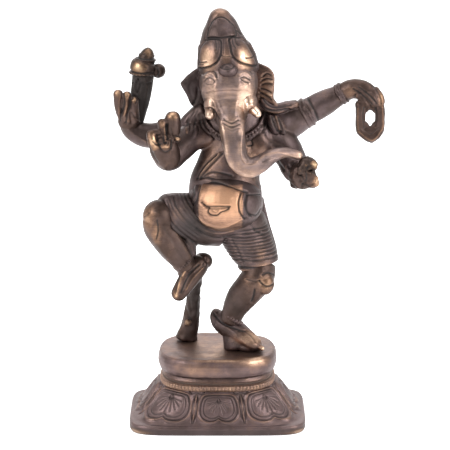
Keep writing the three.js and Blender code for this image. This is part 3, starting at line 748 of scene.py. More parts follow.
@dataclass(frozen=True)
class Brass:
    """A brass finish: patina where nobody touches it, brown brass, bright brass where it is rubbed and where
    highlights are painted.
    """

    slot: str
    shade: str = ""
    patina: Colour = (0.062, 0.042, 0.037)
    patina_cool: Colour = (0.096, 0.068, 0.067)
    brown: Colour = (0.225, 0.138, 0.100)
    bright: Colour = (0.640, 0.430, 0.295)
    soot_and_shade_colour: Colour = (0.016, 0.012, 0.011)
    base_wear_and_highlight: float = 0.0
    patina_roughness: float = 0.46
    bright_roughness: float = 0.33
    grain: float = 1.0
    brush: float = 0.2
    made: dict[str, bpy.types.Material] = field(default_factory=dict, compare=False)

    def material(self) -> bpy.types.Material:
        """The finish as a Blender material, built once."""
        if self.slot not in self.made:
            self.made[self.slot] = self._build()
        return self.made[self.slot]

    def _build(self) -> bpy.types.Material:
        """Wear and painted highlights pick the colour from patina to bright, soot in the hollows and painted
        shade darken it, and the bump carries the cast grain, the brush's strokes and the dents.

        Returns:
            The material.
        """
        bench = Bench(self.slot + self.shade)
        where = bench.node("ShaderNodeTexCoord", {}, {}, "Object")
        wear_and_highlight = bench.node("ShaderNodeAttribute", {"attribute_name": "wear_and_highlight"}, {}, "Fac")
        soot_and_shade = bench.node("ShaderNodeAttribute", {"attribute_name": "soot_and_shade"}, {}, "Fac")
        clouds = bench.noise(where, 130, 4, 0.6)
        patches = bench.noise(where, 420, 3, 0.6)
        cast_grain = bench.noise(where, 2600, 2, 0.55)
        along = bench.node("ShaderNodeVectorMath", {"operation": "MULTIPLY"}, {0: where, 1: (260, 260, 3600)})
        strokes = bench.noise(along, 1, 2, 0.6)
        speckle = (clouds - 0.5) * 0.55 + (patches - 0.5) * 0.5 + (cast_grain - 0.5) * 0.3
        # Rubbed wear and painted highlights both raise this level towards bright brass.
        wear_and_highlight_level = wear_and_highlight + self.base_wear_and_highlight + speckle + (strokes - 0.5) * self.brush
        browned, shone = wear_and_highlight_level.eased(0.05, 0.6), wear_and_highlight_level.eased(0.42, 1.05)
        aged = bench.mixed(clouds.eased(0.35, 0.65), self.patina, self.patina_cool)
        warm = bench.mixed(browned, aged, self.brown)
        shiny = bench.mixed(shone, warm, self.bright)
        # Soot in the hollows and painted shade both come in through this share and darken the colour.
        soot_and_shade_share = (soot_and_shade + (patches - 0.5) * 0.2).eased(0.1, 0.95) * 0.9
        colour = bench.mixed(soot_and_shade_share, shiny, self.soot_and_shade_colour)
        roughness = (
            self.patina_roughness
            + shone * (self.bright_roughness - self.patina_roughness)
            + (cast_grain - 0.5) * 0.1
            + (clouds - 0.5) * 0.12
            + soot_and_shade_share * 0.2
        )
        metal = 0.86 + browned * 0.14 - soot_and_shade_share * 0.45
        height = cast_grain * 0.5 + patches * 0.9 + strokes * 0.22
        bump_inputs = {"Strength": 0.32 * self.grain, "Distance": 0.00042, "Height": height}
        bump = bench.node("ShaderNodeBump", {}, bump_inputs, "Normal")
        inputs = {"Base Color": colour, "Roughness": roughness, "Metallic": metal, "Normal": bump, "IOR": 1.5}
        brass = bench.node("ShaderNodeBsdfPrincipled", {}, inputs, "BSDF")
        output = bench.tree.nodes.new("ShaderNodeOutputMaterial")
        bench.tree.links.new(brass.socket, output.inputs["Surface"])
        return bench.material


class Metal(Enum):
    """The finishes that this object has."""

    BASE = Brass(
        "base_brass", base_wear_and_highlight=0.08, patina_roughness=0.46, patina=(0.10, 0.068, 0.064),
        patina_cool=(0.135, 0.093, 0.092)
    )
    ORNAMENT = Brass("ornament_brass", base_wear_and_highlight=0.04)
    POLISHED = Brass(
        "polished_brass", base_wear_and_highlight=0.36, brown=(0.30, 0.175, 0.12), bright=(0.52, 0.30, 0.185),
        bright_roughness=0.52, grain=1.1, brush=0.75
    )
    LIMB = Brass("figure_brass", shade="_brown", patina=(0.052, 0.032, 0.025),
                 patina_cool=(0.078, 0.051, 0.044),
                 brown=(0.205, 0.120, 0.078), bright=(0.62, 0.41, 0.26), brush=0.3)
    CLUB = Brass("ornament_brass", shade="_brown", patina=(0.038, 0.025, 0.02),
                 patina_cool=(0.058, 0.039, 0.033),
                 brown=(0.20, 0.120, 0.075), bright=(0.62, 0.44, 0.27))
    TUSK = Brass(
        "polished_brass", shade="_tusk", base_wear_and_highlight=0.4, brown=(0.34, 0.22, 0.16), bright=(0.74, 0.56, 0.44),
        bright_roughness=0.34
    )
    FIGURE = Brass("figure_brass", base_wear_and_highlight=0.0)
    # The head's lighter, pinker brass: partly rubbed metal, partly painted sheen on the face.
    FACE = Brass("figure_brass", shade="_rubbed", base_wear_and_highlight=0.14, patina=(0.125, 0.09, 0.083),
                 patina_cool=(0.17, 0.125, 0.12),
                 brown=(0.30, 0.20, 0.155), bright=(0.68, 0.49, 0.37), bright_roughness=0.36, brush=0.5)


# ---------------------------------------------------------------------------------------
# The base
# ---------------------------------------------------------------------------------------


@dataclass
class Base:
    """The hollow lotus plinth, the beaded collar and the drum, in the row's own frame."""

    petals: int = 8
    slab: float = 3.8
    ledge: float = 1.0
    wall: float = 3.2
    slab_square: float = 6.4
    round_square: float = 2.8
    petal_length: float = 13.0
    petal_radius: float = 26.0
    teeth: int = 104
    around: int = 840

    def _grid(
        self, rows: Sequence[Sequence[float]], counts: Sequence[int], around: int, middle: Spot
    ) -> Array:
        """Ovals of z, half-width, half-depth and squareness, with counts of steps between them.

        Args:
            rows: the ovals, as z, half-width, half-depth and squareness.
            counts: steps from each row to the next.
            around: points round each oval.
            middle: the ovals' middle, x and y.

        Returns:
            The points, rows by around by 3.
        """
        table = np.array(rows, float)
        at = np.concatenate(
            [np.linspace(i, i + 1, n, endpoint=False) for i, n in enumerate(counts)] + [[len(table) - 1]]
        )
        z, wide, deep, square = (np.interp(at, np.arange(len(table)), column)[:, None] for column in table.T)
        angle = np.linspace(0, 2 * math.pi, around, endpoint=False)[None]
        c, s = np.cos(angle), np.sin(angle)
        reach = (
            abs(c / np.maximum(wide, 1e-6)) ** square + abs(s / np.maximum(deep, 1e-6)) ** square
        ) ** (-1 / square)
        return np.stack([middle[0] + reach * c, middle[1] + reach * s, z + 0 * angle], -1)

    def _middle(self, low: Array, high: Array) -> tuple[Spot, float, float]:
        """A solid's middle and its half sizes."""
        return tuple((low + high)[:2] / 2), (high - low)[0] / 2, (high - low)[1] / 2

    def _petal_plane(self, points: Array, middle: Spot, top: float) -> Array:
        """Each point's place on its own petal: across it, and up its length from its lower end."""
        turn = np.arctan2((points[:, 1] - middle[1]) * 1.08, points[:, 0] - middle[0] - 0.5) + math.pi / 2
        sector = 2 * math.pi / self.petals
        across = (turn - np.round(turn / sector) * sector) * self.petal_radius
        return np.stack([across, (points[:, 2] - self.slab) / (top - self.slab) * self.petal_length], 1)

    def plinth(self) -> Casting:
        """The slab and the lotus over the open hollow. The path starts on the lotus' top, comes
        down over the petals and the slab's edge, and goes back up inside to the ceiling.

        Returns:
            The casting, with its relief and its wear.
        """
        middle, wide, deep = self._middle(PLINTH_LOW, PLINTH_HIGH)
        top = PLINTH_HIGH[2]
        top_wide, top_deep = (COLLAR_HIGH - COLLAR_LOW)[:2] / 2 + 0.2
        low_wide, low_deep = wide - self.ledge, deep - self.ledge
        rows = [(top - 0.1, 0.01, 0.01, 2.3), (top, top_wide, top_deep, 2.3)]
        for rise in (0.85, 0.7, 0.5, 0.3, 0.12, 0.0):
            shrink = rise**0.62
            size = [low + (high - low) * shrink for low, high in ((low_wide, top_wide), (low_deep, top_deep))]
            rows.append((self.slab + rise * (top - self.slab), *size, 2.3 + 1.7 * (1 - rise) ** 1.5))
        rows += [
            (self.slab - 0.05, low_wide + 0.5, low_deep + 0.5, self.slab_square - 1),
            (self.slab - 0.25, wide - 0.35, deep - 0.35, self.slab_square),
            (self.slab - 0.9, wide, deep, self.slab_square), (0.7, wide, deep, self.slab_square),
            (0.15, wide - 0.3, deep - 0.3, self.slab_square), (0.0, wide - 0.9, deep - 0.9, self.slab_square),
            (0.0, low_wide - self.wall, low_deep - self.wall, self.round_square),
            (top - self.wall, top_wide - 4, top_deep - 4, self.round_square),
            (top - self.wall, 0.01, 0.01, self.round_square),
        ]
        counts = [3, 12, 11, 14, 14, 12, 8, 3, 3, 5, 7, 3, 3, 2, 6, 3]
        casting = Casting(gridded(self._grid(rows, counts, self.around, middle)))
        points = casting.shell.points
        plane = self._petal_plane(points, middle, top)
        outside = (points[:, 2] > self.slab - 0.1) & (np.arange(len(points)) < len(points) * 0.7)
        self._chase_petals(casting, plane, outside)
        # Painted shade: the slab is darkened below about 2.2 mm, fading out by 3.5 mm.
        casting.soot_and_shade = np.maximum(
            casting.soot_and_shade, 0.62 * ramp(-points[:, 2], -self.slab + 0.3, -self.slab + 1.6)
        )
        # The slab's lower corners get painted reflections of the floor.
        return casting.polish_and_highlight(self._slab_corner_reflections(middle, wide, deep))

    def _chase_petals(self, casting: Casting, plane: Array, outside: Array) -> None:
        """One petal's bosses and lines, drawn once on the petal's own plane for all of them.

        Args:
            casting: the casting to cut.
            plane: each point's place on its petal's plane.
            outside: whether each point lies on the lotus' outer face.
        """
        rim = [(-5.8, 12.6), (-8.8, 10.8), (-9.9, 6.6), (-9.2, 2.9), (-5.8, 0.7), (-2, 0.8), (0, 1.8)]
        rim += [(-x, z) for x, z in rim[-2::-1]]
        inner = [(x * 0.80, 1.9 + (z - 0.8) * 0.84) for x, z in rim]
        heart = [(x * 0.66, 3.0 + (z - 0.8) * 0.68) for x, z in rim]
        lines = [Line(inner, 0.3, 0.5, True), Line(heart, 0.26, 0.4, True)]
        lines += [Line([(x * 0.9, 1.35 + (z - 0.8) * 0.92) for x, z in rim], 0.26, -0.3, True)]
        for k in range(-4, 5):
            lean = k * 0.36
            tip = (5.0 * math.sin(lean), 9.4 - 5.2 * math.cos(lean))
            lines.append(Line([(0.5 * k * 0.5, 9.6), (tip[0] * 0.62, (9.6 + tip[1]) / 2), tip], 0.22, 0.26))
        lines.append(Line([(0, 10.9), (-0.7, 9.6), (0, 8.8), (0.7, 9.6)], 0.25, 0.5, True))
        half = math.pi / self.petals * self.petal_radius
        for side in (-1, 1):
            edge = [(half - 0.1, 12.4), (half - 1.1, 7), (half - 0.2, 1.2)]
            cusp = [(half - 0.5, 12.6), (half - 2.2, 12.2), (half - 3.4, 13)]
            lines.append(Line([(side * x, z) for x, z in edge], 0.3, 0.5))
            lines.append(Line([(side * half, 12), (side * half, 2)], 0.25, -0.35))
            lines.append(Line([(side * x, z) for x, z in cusp], 0.28, 0.4))
        move = np.zeros(len(plane))
        for boss in (Boss(rim, 0.7, 2.2), Boss(inner, 0.3, 2.2), Boss(heart, 0.35, 2.6)):
            near, lift = boss.lift(plane)
            move[near] += lift * outside[near]
        for line in lines:
            near, gap = line.away(plane)
            share = np.exp(-((gap / line.width) ** 2)) * outside[near]
            move[near] -= line.depth * share
            side = casting.soot_and_shade if line.depth > 0 else casting.wear_and_highlight
            side[near] = np.maximum(side[near], share * 0.7 * line.mark())
        casting.push(move)

    def _slab_corner_reflections(self, middle: Spot, wide: float, deep: float) -> list[WearAndLightPatch]:
        """Painted reflections of the floor at the slab's four lower corners.

        Args:
            middle: the slab's middle, x and y.
            wide: its half width.
            deep: its half depth.

        Returns:
            The four painted reflections.
        """
        wear_and_light_patches = []
        for side in (-1, 1):
            for end in (-1, 1):
                corner = (middle[0] + side * (wide - 2), middle[1] + end * (deep - 3), 0.9)
                wear_and_light_patches.append(WearAndLightPatch(corner, (6, 4, 0.9), 1.0))
        return wear_and_light_patches

    def collar(self) -> Casting:
        """A hollowed ring over a beaded one. A tooth is half a wave round the ring, raised to a
        power that squares it.

        Returns:
            The casting, with its relief and its wear.
        """
        middle, wide, deep = self._middle(COLLAR_LOW, COLLAR_HIGH)
        foot, top, square = COLLAR_LOW[2] - 0.5, COLLAR_HIGH[2] + 0.4, self.round_square
        height = top - foot
        rises = [
            (0, -0.5), (0.05, -0.15), (0.22, 0.0), (0.44, -0.2), (0.53, -0.8), (0.58, -1.15), (0.63, -1.0)
        ]
        rises += [(0.7, -0.75), (0.8, -1.0), (0.9, -1.3), (1, -1.5)]
        rows = [(foot, 0.01, 0.01, square)]
        rows += [(foot + height * rise, wide + reach, deep + reach, square) for rise, reach in rises]
        rows += [(top, 0.01, 0.01, square)]
        grid = self._grid(rows, [2, 3, 6, 6, 6, 3, 3, 4, 4, 4, 4, 3], 1320, middle)
        casting = Casting(gridded(grid))
        points = casting.shell.points
        share = (points[:, 2] - foot) / height
        angle = np.arctan2((points[:, 1] - middle[1]) * wide / deep, points[:, 0] - middle[0])
        beads = np.exp(-(((share - 0.25) / 0.2) ** 2)) * (0.5 - 0.5 * np.cos(angle * self.teeth)) ** 0.6
        gaps = np.exp(-(((share - 0.25) / 0.22) ** 2)) * (0.5 + 0.5 * np.cos(angle * self.teeth)) ** 2
        casting.push(0.34 * beads - 0.34)
        casting.soot_and_shade = np.maximum(0.6 * gaps, 0.7 * np.exp(-(((share - 0.57) / 0.05) ** 2)))
        # Painted highlight: the beads are lighter where they face upwards.
        casting.wear_and_highlight = 0.5 * beads * ramp(casting.shell.normals()[:, 2], -0.2, 0.4)
        return casting.polish_and_highlight(
            [
                WearAndLightPatch((middle[0] + 15, -22, foot + 1.2), (7, 5, 1.6), 0.5),
                WearAndLightPatch((*middle, foot + 1), (60, 60, 4), 0.5)
            ]
        )

    def drum(self) -> Casting:
        """A bulging drum with a crisp upper rim and a slightly dished top.

        Returns:
            The casting, with its relief and its wear.
        """
        middle, wide, deep = self._middle(DRUM_LOW, DRUM_HIGH)
        foot, top, square = DRUM_LOW[2], DRUM_HIGH[2], self.round_square
        height = top - foot
        rises = [(0, -2.4), (0.04, -1.4), (0.12, -0.75), (0.28, -0.25), (0.46, 0), (0.64, -0.08), (0.8, -0.4)]
        rises += [(0.9, -0.85), (0.965, -1.35), (1, -2.1), (0.995, -3.0), (0.965, -5.5)]
        rows = [(foot, 0.01, 0.01, square)]
        rows += [(foot + height * rise, wide + reach, deep + reach, square) for rise, reach in rises]
        rows += [(top - 0.2, 8, 7, 2.2), (top - 0.15, 0.01, 0.01, 2)]
        counts = [3, 3, 4, 6, 7, 7, 7, 6, 5, 5, 5, 7, 22, 10]
        casting = Casting(gridded(self._grid(rows, counts, 560, middle)))
        casting.dent(9, 0.14, 2.0).dent(4, 0.05, 5.0)
        # Painted highlights: a bright line along the front of the rim, a sheen on the front of the top and a
        # lighter top all over. Two more patches lighten the front of the side.
        wear_and_light_patches = [WearAndLightPatch((middle[0] + 2, -19.2, top - 0.1), (22, 1.5, 0.7), 0.6)]
        wear_and_light_patches += [WearAndLightPatch((middle[0] + 15, -16.5, top - 0.8), (9, 4, 2.4), 0.8)]
        wear_and_light_patches += [
            WearAndLightPatch((middle[0] - 9, -20, foot + 4), (12, 4, 3), 0.35),
            WearAndLightPatch((middle[0] - 2, -12, top), (10, 6, 1), 0.55)
        ]
        wear_and_light_patches += [WearAndLightPatch((middle[0], 0, top), (24, 21, 1.5), 0.4)]
        return casting.polish_and_highlight(wear_and_light_patches)

    def build(self) -> None:
        """Makes and dresses the three pieces."""
        here = np.zeros(3)
        self.plinth().dress("lotus_plinth_chased", Metal.BASE.value, "lotus_plinth", origin=here, read=False)
        self.collar().dress("beaded_collar_cut", Metal.BASE.value, "beaded_collar", origin=here, read=False)
        self.drum().dress("drum_turned", Metal.BASE.value, "drum", origin=here, read=False)


# ---------------------------------------------------------------------------------------
# Legs, post and cloth
# ---------------------------------------------------------------------------------------


@dataclass
class Legs:
    """The bent standing leg, the raised leg, their feet and anklets, and the post behind."""

    voxel: float = 0.34

    def standing_leg(self) -> Casting:
        """From under the cloth's hem to the ankle, with the kneecap's folds.

        Returns:
            The casting, with its relief and its wear.
        """
        stations = [
            (15.2, -4, 36, 6.6, 6.4), (14.5, -6, 30, 6.7, 6.6), (11.8, -5.6, 26, 6.4, 6.2),
            (8.4, -4.2, 21.6, 6.0, 5.8), (6.2, -2.8, 17.6, 5.2, 5.2), (4.6, -1.8, 13.6, 4.5, 4.8),
            (3.2, -1, 9.4, 4.1, 4.3),
        ]
        casting = Casting.fused([limb(stations), blob((17.4, -9.4, 28.2), (3.7, 3.3, 4.4))], self.voxel)
        casting.chase([
            Line([(15.4, 26.8), (17.1, 25.0), (19.3, 24.5), (21.3, 25.7)], .5, .6),
            Line([(16.5, 29.3), (18.8, 30.3), (21.1, 29.5)], .45, .5),
            Line([(13.4, 23.0), (13.3, 21.5), (13.0, 19.9), (12.4, 18.4)], .5, .7),
            Line([(10.0, 27.6), (12.9, 26.8), (15.4, 26.8)], .4, .35),
            Line([(8.8, 24.0), (7.6, 20.7), (4.8, 16.9)], .8, .25),
            Line([(16.5, 22.4), (14.5, 18.6), (11.3, 14.4)], .9, -.3),
        ])
        casting.chase([Line([(12.4, 31), (14, 26), (9, 16)], 0.9, 0.3)], Sheet.BACK)
        # Painted shade over the middle of the shin.
        casting.add_soot_and_shade([WearAndLightPatch((7, -5, 19), (6, 8, 9), .6)])
        return casting.dent(7, 0.12, 1.0).polish_and_highlight(
            [WearAndLightPatch((17.6, -12, 29), (3.4, 4, 3.4), .6), WearAndLightPatch((12.6, -10, 29), (5, 4, 4), .28)]
        )

    def standing_foot(self) -> Casting:
        """The flat foot with its heel, five toes and the block under it.

        Returns:
            The casting, with its relief and its wear.
        """
        foot = [
            (-2.6, 2.2, 10.6, 3.2, 3.4), (1, .8, 9.4, 4.6, 4.6), (7.6, -2.8, 5.4, 4.8, 4.4),
            (12.8, -6.2, 2.9, 3.9, 2.8), (15.8, -8.2, 1.8, 2.7, 1.9),
        ]
        block = [(7.6, -2, -.9, 6.6, 6.6), (6.6, -1.6, 2.6, 6.0, 5.8), (4.2, -.4, 8, 4.2, 4.4)]
        parts = [
            limb(foot, face=(-.4, .3, 1)), limb(block), blob((11.4, -4.8, 1.2), (5.6, 4.2, 2.4)),
            limb([(-0.2, 2.4, 14.1, 2.6, 3), (-1.6, 2.2, 11.3, 2.9, 3.2), (0.4, 1.4, 7.3, 3.4, 3.6)])
        ]
        for k, (spread, length) in enumerate(((0, 0), (-1.9, -.3), (-3.5, -1.2), (-4.9, -2.3), (-6, -3.6))):
            root = (13.2 + spread * .45, -7.6 + spread * -.55, 2.6)
            tip = (17 + length * .9 - k * .2, -10.1 - length * .25 + k * .75, 1.25)
            parts.append(
                taper(
                    [root, ((root[0] + tip[0]) / 2, (root[1] + tip[1]) / 2, 2.3), tip], 1.25 - k * .06,
                    .95 - k * .05
                )
            )
        casting = Casting.fused(parts, .32)
        casting.chase([
            Line([(-3.2, 13.6), (-1.6, 11.3), (1.0, 9.0), (5.2, 7.3), (8.9, 6.2)], .5, .6),
            Line([(6.9, 6.1), (9.8, 6.1)], .4, .45), Line([(10.1, 5.6), (12.1, 3.9), (13.8, 1.4)], .45, .35),
            Line([(11.4, 6.0), (14.1, 4.3), (16.0, 2.2)], .45, -.25),
            Line([(2.0, 8.1), (6.1, 4.3), (10.5, 0.1)], .6, -.2),
        ])
        return casting.polish_and_highlight([WearAndLightPatch((12, -7, 5), (7, 5, 3), .75), WearAndLightPatch((16.6, -9.8, 1.8), (1.8, 1.8, 1.4), .8)])

    def raised_leg(self) -> Casting:
        """The polished knee and the shin that hangs from it.

        Returns:
            The casting, with its relief and its wear.
        """
        shin = [
            (-24.5, -12, 56, 6, 6), (-24.2, -11.4, 51.3, 5.9, 5.8), (-19.3, -10.2, 43.7, 5.6, 5.4),
            (-15.8, -9, 38.5, 4.6, 4.6), (-13.1, -7.4, 33.5, 3.9, 4),
        ]
        casting = Casting.fused([limb(shin), blob((-24.2, -11.8, 56.4), (6.3, 6.2, 6.4))], self.voxel)
        casting.chase([
            Line([(-25.4, 51.8), (-24.9, 47.7), (-25.7, 44.2)], .5, .5),
            Line([(-30.5, 53.2), (-28.5, 54.8)], .35, .3),
            Line([(-22.4, 48.9), (-18.0, 41.5), (-13.6, 34.9)], 1.1, .5),
            Line([(-28.3, 48.1), (-23.6, 39.8), (-18.1, 31.5)], 1.0, -.25),
            Line([(-19.6, 49.7), (-15.2, 42.3), (-12.0, 36.5)], .8, -.35),
        ])
        wear_and_light_patches = [
            WearAndLightPatch((-28.5, -15, 57), (3.4, 6, 5), .6), WearAndLightPatch((-25.0, -16, 50.4), (2, 4, 6), .5),
            WearAndLightPatch((-20.0, -15, 42.9), (1.6, 4, 4), .2)
        ]
        # Painted shade down the middle of the shin.
        casting.add_soot_and_shade([WearAndLightPatch((-15.7, -12, 42.1), (4, 7, 8), .4)])
        return casting.dent(6, .1, 3.0).polish_and_highlight(wear_and_light_patches)

    def raised_foot(self) -> Casting:
        """The foot that points down, polished along its ridge, with its toes.

        Returns:
            The casting, with its relief and its wear.
        """
        foot = [
            (-6.8, -3.6, 37, 3.2, 3.4), (-9.4, -5.6, 34.4, 4.3, 4.2), (-12.8, -8.6, 30, 4, 3.3),
            (-16.3, -11.6, 25.4, 3.2, 2.3), (-18.3, -13, 22.8, 2.3, 1.8),
        ]
        casting = Casting.fused(
            [limb(foot), blob((-7.2, -3.4, 36), (3.9, 3.6, 3.4)), blob((-14.3, -8.4, 33.4), (3.0, 3.2, 3.6))],
            .3
        )
        casting.chase([
            Line([(-17.7, 20.7), (-16.8, 24.8), (-14.9, 29.9), (-12.0, 33.8)], .55, -.55),
            Line([(-15.9, 22.0), (-14.1, 26.8), (-11.8, 30.7), (-8.7, 33.6)], .5, .55),
            Line([(-18.3, 21.5), (-17.6, 25.3), (-16.1, 29.7)], .4, .3),
            Line([(-14.1, 23.2), (-11.3, 27.8), (-7.2, 32.4)], .5, -.35),
            Line([(-10.0, 30.7), (-6.8, 33.6), (-6.0, 36.1)], .5, .3),
        ])
        return casting.polish_and_highlight(
            [
                WearAndLightPatch((-17.7, -16, 25.6), (1.1, 3, 2.4), .95), WearAndLightPatch((-16.7, -15, 29.4), (.9, 3, 3), .75),
                WearAndLightPatch((-15.0, -14, 32.8), (.9, 3, 2.6), .45), WearAndLightPatch((-8.7, -9, 34.8), (3, 4, 3), .2)
            ]
        )

    def post(self) -> Casting:
        """The rough bar that carries the raised foot.

        Returns:
            The casting, with its relief and its wear.
        """
        bar = [
            (-14.2, 9.4, -.8, 6.2, 5.2), (-13.8, 9.2, 1.6, 4.2, 3.9), (-12.4, 8.6, 7, 3.6, 3.3),
            (-10.6, 5.2, 22, 2.5, 2.8), (-9, .6, 31, 2.3, 2.6), (-8, -3, 36, 2.5, 2.6),
        ]
        casting = Casting.fused([limb(bar), blob((-13.2, 3.9, 8.4), (1.3, 1.0, 1.5))], self.voxel)
        casting.chase([
            Line([(-14.2, 10.6), (-15.0, 8.1), (-17.0, 5.6)], .6, -.3),
            Line([(-15.3, 18.2), (-13.3, 13.2), (-11.7, 7.7)], .8, .45),
            Line([(-12.5, 18.2), (-11.7, 13.2)], .6, .4),
        ])
        # Painted shade over the post, deepest down its right side.
        casting.add_soot_and_shade([WearAndLightPatch((-10, 0, 20), (8, 12, 30), .75), WearAndLightPatch((-7.6, 2, 18), (2.6, 8, 16), .6)])
        return casting.dent(4.5, .32, 4.0).polish_and_highlight([WearAndLightPatch((-13.4, 2.8, 8.6), (1.2, 1.4, 1.2), .45)])

    def anklet(self, centre: Point, axis: Point, halves: Spot) -> Casting:
        """A ring of small bells round an ankle."""
        return Casting(torus(centre, axis, (halves[0] - 1.1, halves[1] - 1.1), (1.5, 1.0), 26, .3))

    def build(self) -> None:
        """Makes and dresses the legs' pieces."""
        self.standing_leg().dress("standing_leg_cast", Metal.LIMB.value, "standing_leg")
        self.standing_foot().dress("standing_foot_cast", Metal.FIGURE.value, "standing_foot")
        self.raised_leg().dress("raised_leg_cast", Metal.LIMB.value, "raised_leg")
        self.raised_foot().dress("raised_foot_cast", Metal.LIMB.value, "raised_foot")
        self.post().dress("support_post_rough", Metal.LIMB.value, "support_post")
        rings = (
            ("standing_anklet", (4.6, -1.6, 12), (2.6, .8, 4), (4.9, 5.0)),
            ("raised_anklet", (-15, -8.7, 37.2), (3.6, 1.5, -5), (4.3, 4.3)),
        )
        for node, centre, axis, halves in rings:
            self.anklet(centre, axis, halves).dress(f"{node}_beaded", Metal.ORNAMENT.value, node)


@dataclass
class Cloth:
    """The short wrapped cloth on the hips and thighs, and its loose end at the side."""

    voxel: float = 0.36
    folds: Sequence[float] = (50.4, 49.2, 47.7, 46.5, 45.2, 43.8, 42.7, 41.3, 39.9, 38.2)

    def wrap(self) -> Casting:
        """Hips, two thighs and the drape between the legs, with folds round the standing thigh.

        Returns:
            The casting, with its relief and its wear.
        """
        thigh = [
            (7, 0, 52, 10.6, 11), (11.4, -2, 43, 9.5, 9.4), (14.4, -3.5, 37, 8.3, 8.4),
            (15.4, -4, 33.8, 7.8, 8)
        ]
        raised = [
            (1, -1, 52, 10.5, 10.5), (-7.5, -3.5, 53, 10.2, 10), (-15, -7, 55.4, 9.2, 9),
            (-20.4, -9.7, 56.9, 8, 7.8), (-23.4, -11.4, 56.9, 7.1, 6.9)
        ]
        drape = [
            (-13.9, -5, 50.5, 6, 6.6), (-13.5, -6, 45.9, 4.4, 5), (-12.5, -6.4, 41.9, 3, 3.8),
            (-11.3, -6, 38.1, 1.9, 2.6)
        ]
        parts = [
            blob((4, -1, 52), (14, 12, 7.6)), limb(thigh, domes=(2, 1)), limb(raised, domes=(2, 2.2)),
            limb(drape)
        ]
        casting = Casting.fused(parts, self.voxel, 7)
        low = np.array([(-25.9, 58.3), (-24.1, 51.8), (-19.6, 45.6), (-13.2, 40.2)])
        high = np.array([(-13.1, 63.6), (-10.7, 58.7), (-7.2, 54.6), (-3.2, 51.8)])
        for k, share in enumerate(np.linspace(0, 1, 10)):
            path = [tuple(spot) for spot in low + (high - low) * share]
            casting.chase([Line(path, .42, .26 + .1 * (k % 3))])
        casting.band([Band((12, -2, z), (-.08, 0, 1), .34, .32, 13) for z in self.folds])
        casting.band([Band((12, -2, z - .7), (-.08, 0, 1), .42, -.16, 13) for z in self.folds])
        casting.band(
            [
                Band((15.2, -4, 35.4), (-.1, 0, 1), .45, .6, 12),
                Band((15.2, -4, 34.3), (-.1, 0, 1), .7, -.35, 12)
            ]
        )
        casting.chase([
            Line([(-10.0, 50.5), (-6.0, 47.7), (-0.8, 46.4), (4.8, 47.7), (10.0, 50.9)], .5, -.35),
            Line([(-10.0, 48.5), (-6.0, 45.6), (-0.8, 44.4), (5.6, 45.6)], .45, .4),
            Line([(4.4, 44.0), (7.2, 38.2), (8.8, 33.6)], .6, .3),
            Line([(-12.4, 40.7), (-11.2, 37.3), (-8.8, 34.9)], .5, .4),
            Line([(11.2, 53.0), (13.2, 48.1), (16.4, 46.4)], .5, .35),
        ])
        casting.chase([
            Line([(-12, 57), (-2, 50), (8, 47)], .6, .45), Line([(-14, 54), (-4, 48), (8, 44.5)], .6, .35),
            Line([(-5, 60), (4, 56.5), (16, 57.5)], .7, -.5), Line([(4, 55), (5, 48), (8, 42)], .6, .4),
        ], Sheet.BACK)
        # The narrow bright patch on the front of the standing thigh, at x 15.8, is a painted highlight.
        wear_and_light_patches = [
            WearAndLightPatch((16, -12, 40), (5, 4, 7), .2), WearAndLightPatch((15.8, -13, 41.9), (2.2, 3, 4.6), .7),
            WearAndLightPatch((17, -11, 35.5), (4, 4, 2.5), .5), WearAndLightPatch((-17, -15, 58), (5, 5, 4), .2)
        ]
        # The raised thigh and the drape under it are darkened.
        casting.add_soot_and_shade([WearAndLightPatch((-12, -9, 53), (12, 15, 9), .85)])
        return casting.dent(8, .16, 1.5).polish_and_highlight(wear_and_light_patches)

    def tail(self) -> Casting:
        """The loose end that hangs at the left hip, pleated along its length.

        Returns:
            The casting, with its relief and its wear.
        """
        rows = [
            (15.4, 5, 60, 1.5, 3), (17.4, 5, 50, 1.8, 3.6), (20.2, 4, 41, 1.7, 3.8),
            (21.2, 3.6, 36.5, 1.6, 3.5)
        ]
        casting = Casting.fused([limb(rows, domes=(1, .8), square=2.6)], .3, 3)
        lines = [Line([(y - .4, 58), (y + .4, 48), (y, 37)], .4, .4) for y in (2.2, 4.0, 5.8)]
        return casting.chase(lines, Sheet.VIEWER_RIGHT)

    def build(self) -> None:
        """Makes and dresses the cloth."""
        self.wrap().dress("dhoti_folded", Metal.FIGURE.value, "dhoti")
        self.tail().dress("hip_cloth_tail_pleated", Metal.FIGURE.value, "hip_cloth_tail")


# ---------------------------------------------------------------------------------------
# Body and arms
# ---------------------------------------------------------------------------------------


